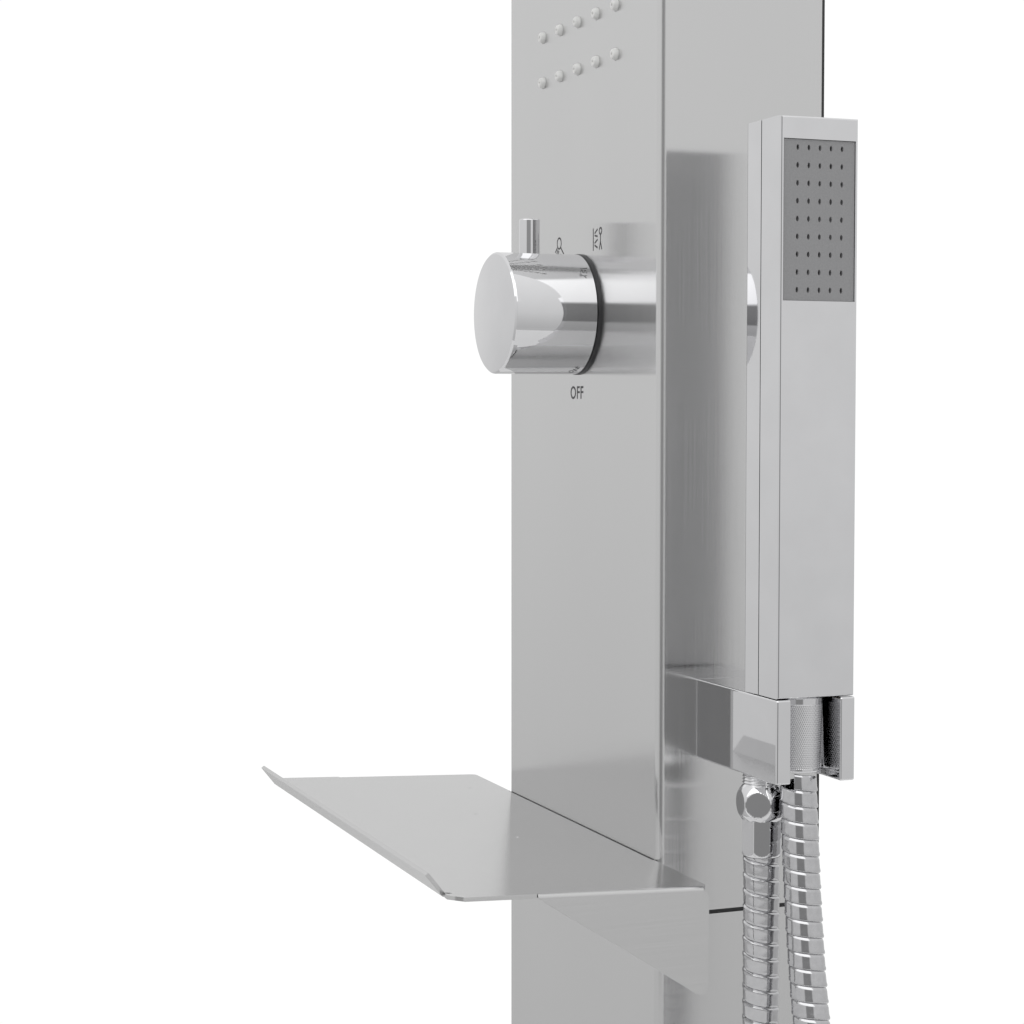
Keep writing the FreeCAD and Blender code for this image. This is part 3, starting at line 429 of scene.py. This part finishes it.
def hose():
    line = hose_line()
    at, total = walker(line)
    turns = int(total / HOSE_PITCH)
    pitch = total / turns
    wraps = [(turn + share, radius) for turn in range(turns) for share, radius in HOSE_WRAP]
    wraps.append((turns, HOSE_WRAP[0][1]))
    straight, placed = [], []
    for i in range(HOSE_SEGMENTS):
        angle = TAU * i / HOSE_SEGMENTS
        for wrap, radius in wraps:
            # each segment starts a little later along the strip, so that the wraps run as a screw
            length = min(max((wrap - i / HOSE_SEGMENTS) * pitch, 0.0), total)
            point, side, up = at(length)
            across = side * math.cos(angle) + up * math.sin(angle)
            straight.append((length, radius * MM * math.cos(angle), radius * MM * math.sin(angle)))
            placed.append(point + across * radius * MM)
    rows = len(wraps)
    shift = len(HOSE_WRAP)
    faces = []
    for i in range(HOSE_SEGMENTS - 1):
        for row in range(rows - 1):
            a = i * rows + row
            faces.append((a, a + 1, a + rows + 1, a + rows))
    last = (HOSE_SEGMENTS - 1) * rows
    for row in range(shift, rows - 1):
        faces.append((last + row, last + row + 1, row + 1 - shift, row - shift))
    mesh = bpy.data.meshes.new("shower_hose")
    mesh.from_pydata(straight, [], faces)
    item = piece("shower_hose_metal", mesh, "hose_chrome", None, "shower_hose", sharp=28)
    # Both legs pass the same heights, so the hose is told how it blends while it lies straight along X,
    # from the bottom of its loop to its far end, and is then laid along its route.
    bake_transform(item)
    mesh.vertices.foreach_set("co", [number for place in placed for number in place])
    mesh.update()
    return item, line


hose_item, hose_path = hose()


# ---------------------------------------------------------------- hose fittings
def outlet_nipple(outlet, top):
    """The threaded outlet under the holder."""
    thread, length, steps = 1.2 * MM, 15.4 * MM, 8
    crest, deep = 7.4 * MM, 0.55 * MM

    def threaded(level, angle):
        phase = (level / thread - angle / TAU) % 1
        return crest - deep * abs(2 * phase - 1)

    bm = bmesh.new()
    levels = [top - length + i * thread / steps for i in range(int(length / thread * steps))] + [top]
    add_turned(bm, levels, threaded, 64, pointing("Z", Vector((outlet.x, outlet.y, 0))))
    piece("outlet_nipple_threaded", mesh_of("outlet_nipple", bm), "chrome", "root", "outlet_nipple", sharp=80)


def hex_nut(outlet, centre_z):
    """A ball, cut off above and below, with six flats round it."""
    ball, flat, half_height = 9.8 * MM, 8.55 * MM, 6.9 * MM
    twist, steps = math.radians(8), 48

    def domed(level, angle):
        dome = math.sqrt(ball ** 2 - level ** 2)
        turned = (angle + twist) % (TAU / 6) - TAU / 12
        return min(dome, flat / math.cos(turned))

    bm = bmesh.new()
    levels = [half_height * math.sin(math.radians(-90 + 180 * i / steps)) for i in range(steps + 1)]
    add_turned(bm, levels, domed, 216, pointing("Z", Vector((outlet.x, outlet.y, centre_z))))
    mesh = mesh_of("hose_hex_nut", bm)
    return piece("hose_hex_nut_domed", mesh, "chrome", "root", "hose_hex_nut", sharp=14)


def ferrule(outlet, top):
    """A collar that swells quickly above its foot, with eight flats round it."""
    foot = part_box("hose_ferrule")[0].z
    flat, twist, steps = 7.35 * MM, math.radians(5), 40

    def ferruled(level, angle):
        share = (level - foot) / (top - foot)
        skin = (6.9 + 1.15 * math.sin(math.pi / 2 * min(1, share * 4.5)) ** 0.8) * MM
        turned = (angle + twist) % (TAU / 8) - TAU / 16
        return min(skin, flat / math.cos(turned))

    bm = bmesh.new()
    levels = [foot + (top - foot) * (i / steps) ** 1.5 for i in range(steps + 1)]
    add_turned(bm, levels, ferruled, 192, pointing("Z", Vector((outlet.x, outlet.y, 0))))
    mesh = mesh_of("hose_ferrule", bm)
    return piece("hose_ferrule_octagonal", mesh, "chrome", "root", "hose_ferrule", sharp=12)


def cone_nut():
    """A cone with a diamond knurl between two plain bands."""
    low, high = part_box("hose_cone_nut")
    axis = middle("hose_cone_nut")
    height = high.z - low.z
    foot_radius, widening = 8.0, 0.9
    knurl_count, knurl_rows, knurl_depth = 72, 34, 0.14 * MM
    plain_top, plain_foot, edge = 2.6 * MM, 1.4 * MM, 0.5 * MM
    steps = 204

    def knurled(level, angle):
        share = (level - low.z) / height
        radius = (foot_radius + widening * share) * MM
        if level > high.z - plain_top or level < low.z + plain_foot:
            inside = min(high.z - level, level - low.z, edge)
            return radius - (edge - inside) * 0.7
        across = angle * knurl_count
        rise = share * knurl_rows * math.pi
        ridge = abs(math.cos((across + rise) / 2) * math.cos((across - rise) / 2))
        return radius - knurl_depth * (1 - ridge)

    bm = bmesh.new()
    levels = [low.z + height * i / steps for i in range(steps + 1)]
    add_turned(bm, levels, knurled, 432, pointing("Z", Vector((axis.x, axis.y, 0))))
    mesh = mesh_of("hose_cone_nut", bm)
    return piece("hose_cone_nut_knurled", mesh, "chrome", "hose_end", "hose_cone_nut", sharp=60)


def fittings():
    """Makes the outlet and the pieces at the hose's two ends, and returns those that belong to the hose."""
    outlet = middle("outlet_nipple")
    under_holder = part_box("handset_holder")[0].z
    nut_z = under_holder - 11.2 * MM
    outlet_nipple(outlet, under_holder)
    return [hex_nut(outlet, nut_z), ferrule(outlet, nut_z - 6.2 * MM), cone_nut()]


hose_pieces = fittings()


# ---------------------------------------------------------------- knob and its marks
def knob():
    low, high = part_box("control_knob")
    face, rear = low.y, high.y
    radius, bore, stem, hole = 25 * MM, 21 * MM, 9 * MM, 4 * MM
    rim, edge = 0.8 * MM, 0.3 * MM
    hollow, stem_end, hole_end = face + 10.6 * MM, rear - 11.4 * MM, face + 11.6 * MM
    profile = [
        (face, 0), (face, radius - rim - 0.15 * MM), (face + 0.05 * MM, radius - rim),
        (face + rim - 0.1 * MM, radius - 0.08 * MM), (face + rim + 0.2 * MM, radius),
        (rear - edge, radius), (rear, radius - edge), (rear, bore + edge), (rear - edge, bore),
        (hollow, bore), (hollow, stem), (stem_end, stem), (stem_end, hole), (hole_end, hole), (hole_end, 0),
    ]
    mesh = lathed("control_knob", profile, 160, pointing("Y", Vector((KNOB_AXIS.x, 0, KNOB_AXIS.z))))
    piece("control_knob_turned", mesh, "chrome", "knob", "control_knob", sharp=20)


def knob_pin():
    low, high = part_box("knob_pin")
    axis = middle("knob_pin")
    radius = (high.y - low.y) / 2
    edge, sunk = 0.5 * MM, 1.5 * MM
    profile = [(low.z - sunk, 0), (low.z - sunk, radius), (high.z - edge, radius)]
    profile += [(high.z - edge + edge * math.sin(a), radius - edge + edge * math.cos(a))
                for a in (math.radians(22), math.radians(45), math.radians(68))]
    profile += [(high.z, radius - edge), (high.z, 0)]
    mesh = lathed("knob_pin", profile, 64, pointing("Z", Vector((axis.x, axis.y, 0))))
    piece("knob_pin_turned", mesh, "chrome", "knob", "knob_pin", sharp=40)


def knob_ring():
    low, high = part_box("knob_ring")
    bore, radius = 21 * MM, 25.2 * MM
    profile = [
        (low.y, bore), (low.y, radius - 0.6 * MM), (low.y + 0.4 * MM, radius), (high.y - 0.2 * MM, radius),
        (high.y, radius), (high.y, bore), (low.y, bore),
    ]
    mesh = lathed("knob_ring", profile, 128, pointing("Y", Vector((KNOB_AXIS.x, 0, KNOB_AXIS.z))))
    piece("knob_ring_turned", mesh, "black_plastic", "root", "knob_ring")


INK = 0.03 * MM
STROKE = 0.75


def on_front(u, v, depth):
    """A point of the casing's front: u and v in millimetres from the knob's axis, depth in metres."""
    return Vector((KNOB_AXIS.x + u * MM, FRONT + depth, KNOB_AXIS.z + v * MM))


def add_strokes(bm, lines):
    """Short printed strokes, each between two points of the casing's front."""
    for start, end in lines:
        a, b = Vector(start), Vector(end)
        along = (b - a).normalized()
        side = Vector((-along.y, along.x)) * STROKE / 2
        corners = [a + side, a - side, b - side, b + side]
        add_slab(bm, [tuple(corner) for corner in corners], -INK, 0.0, on_front)


def off_mark():
    """The word OFF, below the knob."""
    text = bpy.data.curves.new("off", "FONT")
    text.body = "OFF"
    text.size = 7.4
    text.align_x = "CENTER"
    text.offset = 0.13
    text.space_character = 1.1
    text.extrude = INK / MM
    drawn = bpy.data.objects.new("off", text)
    scene.collection.objects.link(drawn)
    bpy.context.view_layer.update()
    mesh = bpy.data.meshes.new_from_object(drawn.evaluated_get(bpy.context.evaluated_depsgraph_get()))
    bpy.data.objects.remove(drawn)
    widen, shift, drop = 1.02, 0.9, 35.1
    for vertex in mesh.vertices:
        u, v, depth = vertex.co
        vertex.co = on_front(u * widen - shift, v - drop, -depth * MM)
    piece("off_mark", mesh, "black_plastic", "root")


def outlet_marks():
    """Two generic outlet signs, above the knob."""
    bm = bmesh.new()
    # handset sign: a round head, its handle and three drops
    head = arc((-20.6, 31.2), 2.3, 0, 360, 16)
    add_strokes(bm, zip(head, head[1:]))
    add_strokes(bm, [((-18.9, 29.4), (-15.4, 26.2)), ((-22.9, 29.4), (-24.9, 27.6)),
                     ((-22.1, 28.6), (-23.7, 26.4)), ((-21, 28.2), (-21.8, 25.8))])
    # body jet sign: a wall line, two fans of spray and a figure
    add_strokes(bm, [((16.2, 25.5), (16.2, 34.6)), ((17.6, 32.4), (20.6, 34)), ((17.6, 31.6), (20.6, 31)),
                     ((17.6, 28.4), (20.6, 29.8)), ((17.6, 27.6), (20.6, 26.4))])
    face = arc((23.6, 33), 1.3, 0, 360, 12)
    add_strokes(bm, zip(face, face[1:]))
    add_strokes(bm, [((23.6, 31.5), (23.6, 28.6)), ((23.6, 28.6), (22.3, 25.5)),
                     ((23.6, 28.6), (24.9, 25.5))])
    piece("outlet_marks", mesh_of("outlet_marks", bm), "black_plastic", "root")


# ---------------------------------------------------------------- nozzles
MAT = 2 * MM
MAT_CORNER = 4 * MM
NOZZLE_SUNK = 0.3 * MM


def add_nozzle(bm, place):
    """A soft nozzle, pointing against its axis: a tapered peg with a rounded end and a small water hole."""
    tip = 2.4
    profile = [(0.0, 0.0), (0.0, 2.5), (0.5, 2.45), (tip - 0.8, 2.15), (tip - 0.3, 1.85), (tip - 0.06, 1.35),
               (tip, 0.95), (tip - 0.1, 0.55), (tip - 0.8, 0.45), (tip - 0.8, 0.0)]
    add_lathe(bm, [(-level * MM, radius * MM) for level, radius in profile], 18, place)


def grid(columns, rows, pitch):
    """The points of a grid, from its middle."""
    return [((column - (columns - 1) / 2) * pitch, (row - (rows - 1) / 2) * pitch)
            for column in range(columns) for row in range(rows)]


def mat_outline(left, bottom, right, top):
    corners = ((left, bottom), (right, bottom), (right, top), (left, top))
    return rounded([(u, v, MAT_CORNER) for u, v in corners])


def jet_nozzles():
    low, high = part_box("jet_nozzle_mat")
    centre = (low + high) / 2
    bm = bmesh.new()
    for u, v in grid(5, 9, 19.4 * MM):
        add_nozzle(bm, pointing("Y", Vector((centre.x + u, FRONT + NOZZLE_SUNK, centre.z + v))))
    add_slab(bm, mat_outline(low.x, low.z, high.x, high.z), high.y - MAT, high.y, facing_front)
    piece("jet_nozzles", mesh_of("jet_nozzles", bm), "nozzle_silicone", "root", "jet_nozzle_mat")


def rain_nozzles():
    low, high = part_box("rain_nozzle_mat")
    centre = (low + high) / 2
    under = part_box("rain_head_plate")[0].z
    bm = bmesh.new()
    for u, v in grid(6, 13, 20 * MM):
        add_nozzle(bm, pointing("Z", Vector((centre.x + u, centre.y + v, under + NOZZLE_SUNK))))
    add_slab(bm, mat_outline(low.x, low.y, high.x, high.y), high.z - MAT, high.z, facing_up)
    piece("rain_nozzles", mesh_of("rain_nozzles", bm), "nozzle_silicone", "root", "rain_nozzle_mat")


# ---------------------------------------------------------------- handset holder
def holder():
    """A block with a round-ended slot through it for the hose, on a shank that goes into the column."""
    low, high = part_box("handset_holder")
    slot = middle("hose_cone_nut")
    washer = middle("holder_washer")
    slot_radius, shank_radius = 10.1 * MM, 7 * MM
    corner, lip = 0.9 * MM, 0.7 * MM
    # the near arm, the slot's round end and the far arm
    outline = rounded([(SIDE, low.y, 0), (high.x, low.y, corner), (high.x, slot.y - slot_radius, lip)])
    outline += arc((slot.x, slot.y), slot_radius, 270, 90, 28)
    outline += rounded([(high.x, slot.y + slot_radius, lip), (high.x, high.y, corner), (SIDE, high.y, 0)])
    bm = bmesh.new()
    add_slab(bm, outline, low.z, high.z, facing_up)
    shank = pointing("X", Vector((0, washer.y, washer.z)))
    add_turned(bm, [low.x, SIDE], lambda level, angle: shank_radius, 48, shank)
    item = piece("handset_holder_fork", mesh_of("handset_holder", bm), "chrome", "root", "handset_holder")
    soften(item, 0.7 * MM, 4)
    flatten(item)


# ---------------------------------------------------------------- handset
GROOVE = 0.25 * MM
SUNK = 0.9 * MM
EDGE = 1.0 * MM
QUARTER = [math.radians(90 * k / 5) for k in range(6)]


def add_rings(bm, rings):
    """A skin over rectangles, each (x, y low, y high, z low, z high), closed at both ends."""
    made = []
    for x, y0, y1, z0, z1 in rings:
        made.append([bm.verts.new((x, y, z)) for y, z in ((y0, z0), (y1, z0), (y1, z1), (y0, z1))])
    for first, second in zip(made, made[1:]):
        for i in range(4):
            bm.faces.new((first[i], first[(i + 1) % 4], second[(i + 1) % 4], second[i]))
    bm.faces.new(made[0][::-1])
    bm.faces.new(made[-1])


def inset(x, sides, by):
    """A rectangle at x, moved in from the four sides."""
    y0, y1, z0, z1 = sides
    return (x, y0 + by, y1 - by, z0 + by, z1 - by)


def rounding(x, way, sides):
    """Rectangles that round an edge by a quarter turn, up to a face at x; way is 1 or -1, outwards along X."""
    return [inset(x - way * EDGE * (1 - math.sin(a)), sides, EDGE * (1 - math.cos(a))) for a in QUARTER]


def handset_back(sides):
    """The half towards the column, with its rounded edges and its side of the groove between the halves."""
    low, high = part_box("handset_back_shell")
    rings = rounding(low.x, -1, sides)[::-1]
    rings += [inset(high.x - GROOVE, sides, 0), inset(high.x - GROOVE, sides, SUNK)]
    rings += [inset(high.x, sides, SUNK)]
    bm = bmesh.new()
    add_rings(bm, rings)
    mesh = mesh_of("handset_back", bm)
    flatten(piece("handset_back_half", mesh, "chrome", "handset", "handset_back_shell", sharp=32))


def handset_front(sides):
    """The other half, with its side of the groove, its rounded edges and the window for the spray plate."""
    low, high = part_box("handset_front_shell")
    plate_low, plate_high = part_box("handset_spray_plate")
    window = (plate_low.y, plate_high.y, plate_low.z, plate_high.z)
    rings = [inset(low.x, sides, SUNK), inset(low.x + GROOVE, sides, SUNK), inset(low.x + GROOVE, sides, 0)]
    rings += rounding(high.x, 1, sides)
    rings += [inset(high.x, window, 0), inset(plate_low.x, window, 0)]
    bm = bmesh.new()
    add_rings(bm, rings)
    mesh = mesh_of("handset_front", bm)
    flatten(piece("handset_front_half", mesh, "chrome", "handset", "handset_front_shell", sharp=32))


def add_spray_hole(bm, front, back, centre, cell, hole):
    """One cell of the spray plate, with its tapering oval hole; centre, cell and hole are (y, z) pairs."""
    steps, taper = 16, 0.8
    cy, cz = centre
    outer, rim, deep = [], [], []
    for k in range(steps):
        c, s = math.cos(TAU * k / steps), math.sin(TAU * k / steps)
        grow = 1 / max(abs(c), abs(s))
        outer.append(bm.verts.new((front, cy + c * grow * cell[0] / 2, cz + s * grow * cell[1] / 2)))
        rim.append(bm.verts.new((front, cy + c * hole[0], cz + s * hole[1])))
        deep.append(bm.verts.new((back, cy + c * hole[0] * taper, cz + s * hole[1] * taper)))
    for k in range(steps):
        after = (k + 1) % steps
        bm.faces.new((outer[k], outer[after], rim[after], rim[k]))
        bm.faces.new((rim[k], rim[after], deep[after], deep[k]))


def spray_plate(middle_y):
    """A plate of cells with a hole in each, a plain border round them and a skirt round the border."""
    low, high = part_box("handset_spray_plate")
    front, back = high.x, low.x
    columns, rows = 5, 9
    cell, hole = (4.5 * MM, 6.34 * MM), (0.55 * MM, 1.05 * MM)
    gap = 0.12 * MM
    first_z = low.z + 3.9 * MM
    lines_y = (low.y + gap, middle_y - columns / 2 * cell[0], middle_y + columns / 2 * cell[0], high.y - gap)
    lines_z = (low.z + gap, first_z - cell[1] / 2, first_z + (rows - 0.5) * cell[1], high.z - gap)
    bm = bmesh.new()
    for i in range(3):
        for j in range(3):
            if (i, j) != (1, 1):
                corners = ((lines_y[i], lines_z[j]), (lines_y[i + 1], lines_z[j]),
                           (lines_y[i + 1], lines_z[j + 1]), (lines_y[i], lines_z[j + 1]))
                bm.faces.new([bm.verts.new((front, y, z)) for y, z in corners])
    for column in range(columns):
        for row in range(rows):
            centre = (middle_y + (column - (columns - 1) / 2) * cell[0], first_z + row * cell[1])
            add_spray_hole(bm, front, back, centre, cell, hole)
    same = 1e-7
    bmesh.ops.remove_doubles(bm, verts=bm.verts, dist=same)
    border = [rim for rim in bm.edges if len(rim.link_faces) == 1
              and all(abs(vertex.co.x - front) < same for vertex in rim.verts)]
    skirt = bmesh.ops.extrude_edge_only(bm, edges=border)
    moved = [item for item in skirt["geom"] if isinstance(item, bmesh.types.BMVert)]
    bmesh.ops.translate(bm, verts=moved, vec=(back - front, 0, 0))
    mesh = mesh_of("handset_spray_plate", bm)
    piece("handset_spray_face", mesh, "grey_plastic", "handset", "handset_spray_plate")


def handset():
    low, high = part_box("handset_front_shell")
    sides = (low.y, high.y, low.z, high.z)
    handset_back(sides)
    handset_front(sides)
    spray_plate((low.y + high.y) / 2 + 0.3 * MM)


# ---------------------------------------------------------------- shelf
def add_fold(bm, first, last, centre, turn):
    """Bends a sheet from the edge first..last round an axis through centre and returns its new edge."""
    steps = 6
    axis = (last.co - first.co).normalized()
    rows = [(first, last)]
    for k in range(1, steps + 1):
        spin = Matrix.Rotation(math.radians(turn) * k / steps, 3, axis)
        rows.append(tuple(bm.verts.new(centre + spin @ (vert.co - centre)) for vert in (first, last)))
    for lower, upper in zip(rows, rows[1:]):
        bm.faces.new((lower[0], lower[1], upper[1], upper[0]))
    return rows[-1]


def add_flap(bm, edge, reach):
    """A flat flap from a folded edge."""
    ends = [bm.verts.new(vert.co + reach) for vert in edge]
    bm.faces.new((edge[0], edge[1], ends[1], ends[0]))


def weld_marks(on_plate):
    """Four low round spots on the shelf's upper face; on_plate(u, v) is a point of that face."""
    across, out = (26.4, 88.6), (36.7, 16.6)
    profile = [(-0.2, 0.0), (-0.2, 1.3), (0.06, 1.1), (0.14, 0.75), (0.16, 0.0)]
    bm = bmesh.new()
    for way in (1, -1):
        for u, v in zip(across, out):
            place = pointing("Z", on_plate(way * u * MM, v * MM))
            add_lathe(bm, [(level * MM, radius * MM) for level, radius in profile], 20, place)
    piece("shelf_weld_marks", mesh_of("shelf_weld_marks", bm), "brushed_stainless", "root")


def painted_shadow_line(front, half_width, top):
    """A black strip in the groove between the shelf's rear fold and the column: painted shadow, standing in
    for the shade of that narrow gap.
    """
    low, high = top - 1.5 * MM, top + 0.5 * MM
    outline = [(-half_width, low), (half_width, low), (half_width, high), (-half_width, high)]
    bm = bmesh.new()
    add_slab(bm, outline, front - 0.9 * MM, front - 0.05 * MM, facing_front)
    # painted shadow: the black rubber material colours this strip dark where the groove's shade falls
    piece("shelf_painted_shadow_line", mesh_of("shelf_painted_shadow_line", bm), "black_rubber", "root")


def shelf():
    """One sheet, drawn as its middle surface: the plate, its lip, its flange and its two webs."""
    low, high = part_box("shelf")
    front, sheet, bend = high.y, 1.6 * MM, 0.85 * MM
    depth, rise, web_drop, web_out = 100.6 * MM, 4.3 * MM, 40 * MM, 68 * MM
    lip_turn, lip_angle, lip_length, flange_drop = 49.0, math.radians(51.5), 9.8 * MM, 23 * MM
    slope = rise / depth
    under = sheet / 2
    half = high.x - under
    flange = SIDE - 2 * MM
    top = low.z + web_drop - under

    def on_plate(u, v):
        """A point of the plate's middle surface, u across and v out from the column."""
        return Vector((u, front - v, top + v * slope))

    side, back = half - bend, under + bend
    fore = depth - bend * math.tan(math.radians(lip_turn / 2))
    lip_half = half - 8 * MM
    web_back = 2.6 * MM
    corner, relief = web_back - 0.5 * MM, 1.2 * MM
    # the plate's right half, from the flange round the rear corner and the front corner to the lip
    spots = [(flange, back), (flange, 0.5 * MM)]
    spots += arc((side - corner, web_back), corner, -90, 0, 5)[:-1]
    spots += [(side, web_back), (side, web_out)]
    spots += [(half + under, web_out + 0.5 * MM), (half + under, depth - 5 * MM)]
    spots += [(half - 4 * MM, depth), (lip_half + relief, depth)]
    spots += arc((lip_half + relief, fore - 1 * MM), relief, 0, -180, 6)
    spots += [(lip_half, fore)]
    spots += [(-u, v) for u, v in reversed(spots)]
    bm = bmesh.new()
    plate = {spot: bm.verts.new(on_plate(*spot)) for spot in spots}
    bm.faces.new([plate[spot] for spot in spots])

    def fold(first, last, towards, turn):
        first, last = plate[first], plate[last]
        return add_fold(bm, first, last, (first.co + last.co) / 2 + towards * bend, turn)

    down = Vector((0, 0, -1))
    above = Vector((0, math.sin(math.atan(slope)), math.cos(math.atan(slope))))
    lip = fold((-lip_half, fore), (lip_half, fore), above, -lip_turn)
    add_flap(bm, lip, Vector((0, -math.cos(lip_angle), math.sin(lip_angle))) * lip_length)
    add_flap(bm, fold((-flange, back), (flange, back), down, -90), down * flange_drop)
    # the webs' lower edges rise to the front
    for way in (1, -1):
        web = [*fold((way * side, web_back), (way * side, web_out), down, way * -90)]
        for v, z in ((6 * MM, low.z + 1 * MM), (4 * MM, low.z), (1.8 * MM, low.z + 0.4 * MM),
                     (0.5 * MM, low.z + 2 * MM), (0.5 * MM, top - 3.2 * MM), (0.85 * MM, top - 1.9 * MM),
                     (1.5 * MM, top - 1.15 * MM)):
            web.append(bm.verts.new((way * half, front - v, z)))
        bm.faces.new(web)
    item = piece("shelf_folded", mesh_of("shelf", bm), "brushed_stainless", "root", "shelf", sharp=35)
    thick = item.modifiers.new("sheet", "SOLIDIFY")
    thick.thickness = sheet
    thick.offset = 0
    thick.use_even_offset = True
    soften(item, 0.45 * MM, 3, 60)
    flatten(item)
    weld_marks(lambda u, v: on_plate(u, v) - down * under)
    # the black strip of painted shadow in the groove behind the shelf's rear fold
    painted_shadow_line(front, flange, top)


# ---------------------------------------------------------------- studio
def studio():
    world = bpy.data.worlds.new("studio")
    scene.world = world
    world.use_nodes = True
    tree = world.node_tree
    tree.nodes.clear()
    place = add(tree, "ShaderNodeTexCoord")
    axes = add(tree, "ShaderNodeSeparateXYZ")
    tree.links.new(place.outputs["Generated"], axes.inputs[0])

    def window(value, inner, outer):
        """1 while a value is within inner of nought, 0 past outer."""
        size = add(tree, "ShaderNodeMath", operation="ABSOLUTE")
        tree.links.new(value, size.inputs[0])
        made = add(tree, "ShaderNodeMapRange", interpolation_type="SMOOTHSTEP")
        made.inputs["From Min"].default_value = inner
        made.inputs["From Max"].default_value = outer
        made.inputs["To Min"].default_value = 1
        made.inputs["To Max"].default_value = 0
        tree.links.new(size.outputs[0], made.inputs["Value"])
        return made.outputs["Result"]

    up = add(tree, "ShaderNodeMapRange")
    up.inputs["From Min"].default_value = -1
    up.inputs["From Max"].default_value = 1
    tree.links.new(axes.outputs["Z"], up.inputs["Value"])
    ramp = add(tree, "ShaderNodeValToRGB")
    # brightness of the room against the sine of the height above the horizon
    stops = [(-1.0, 0.75), (-0.45, 0.6), (-0.25, 0.68), (-0.1, 0.75), (0.0, 0.8), (0.1, 0.86), (0.25, 0.95),
             (0.5, 1.02), (1.0, 1.05)]
    bright = 2.0
    for index, (height, value) in enumerate(stops):
        spot = ramp.color_ramp.elements[index] if index < 2 else ramp.color_ramp.elements.new(0.5)
        spot.position = (height + 1) / 2
        spot.color = (value / bright,) * 3 + (1,)
    tree.links.new(up.outputs["Result"], ramp.inputs["Fac"])

    azimuth = add(tree, "ShaderNodeMath", operation="ARCTAN2")
    tree.links.new(axes.outputs["Y"], azimuth.inputs[0])
    tree.links.new(axes.outputs["X"], azimuth.inputs[1])

    def zone(turn, half_turn, height, half_height, value):
        """A brightness of its own, in a soft-edged part of the room round a direction."""
        around = add(tree, "ShaderNodeMath", operation="SUBTRACT")
        around.inputs[1].default_value = math.radians(turn)
        tree.links.new(azimuth.outputs[0], around.inputs[0])
        above = add(tree, "ShaderNodeMath", operation="SUBTRACT")
        above.inputs[1].default_value = height
        tree.links.new(axes.outputs["Z"], above.inputs[0])
        share = add(tree, "ShaderNodeMath", operation="MULTIPLY")
        half = math.radians(half_turn)
        tree.links.new(window(around.outputs[0], half - 0.06, half + 0.06), share.inputs[0])
        tree.links.new(window(above.outputs[0], half_height - 0.02, half_height + 0.02), share.inputs[1])
        made = add(tree, "ShaderNodeMapRange")
        made.inputs["To Min"].default_value = 1
        made.inputs["To Max"].default_value = value
        tree.links.new(share.outputs[0], made.inputs["Value"])
        return made.outputs["Result"]

    # the dark round the camera, and the softbox above it
    dark = zone(-30, 23, 0.02, 0.27, 0.42)
    box = zone(-50, 55, 0.6, 0.27, 2.0)
    zones = add(tree, "ShaderNodeMath", operation="MULTIPLY")
    tree.links.new(dark, zones.inputs[0])
    tree.links.new(box, zones.inputs[1])
    strength = add(tree, "ShaderNodeMath", operation="MULTIPLY")
    strength.inputs[1].default_value = bright
    tree.links.new(zones.outputs[0], strength.inputs[0])

    room = add(tree, "ShaderNodeBackground")
    tree.links.new(ramp.outputs["Color"], room.inputs["Color"])
    tree.links.new(strength.outputs[0], room.inputs["Strength"])
    backdrop = add(tree, "ShaderNodeBackground")
    backdrop.inputs["Color"].default_value = (1, 1, 1, 1)
    backdrop.inputs["Strength"].default_value = 1.02
    path = add(tree, "ShaderNodeLightPath")
    both = add(tree, "ShaderNodeMixShader")
    tree.links.new(path.outputs["Is Camera Ray"], both.inputs["Fac"])
    tree.links.new(room.outputs[0], both.inputs[1])
    tree.links.new(backdrop.outputs[0], both.inputs[2])
    out = add(tree, "ShaderNodeOutputWorld")
    tree.links.new(both.outputs[0], out.inputs["Surface"])


def floor():
    """A round pale floor below the hose's loop."""
    low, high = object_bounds()
    centre = (low + high) / 2
    made, surface = shader("floor", (0.74, 0.74, 0.74), 0.6)
    value = noise(made.node_tree, (3, 3, 3))
    tint(made.node_tree, surface, value, (0.72,) * 3, (0.76,) * 3)
    bm = bmesh.new()
    bmesh.ops.create_circle(bm, cap_ends=True, segments=128, radius=1.45)
    bmesh.ops.translate(bm, verts=bm.verts, vec=(centre.x, centre.y, low.z - 0.03))
    mesh = mesh_of("floor", bm)
    mesh.materials.append(made)
    item = bpy.data.objects.new("floor", mesh)
    scene.collection.objects.link(item)
    item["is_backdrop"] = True


knob()
knob_pin()
knob_ring()
off_mark()
outlet_marks()
jet_nozzles()
rain_nozzles()
holder()
handset()
shelf()
studio()
floor()
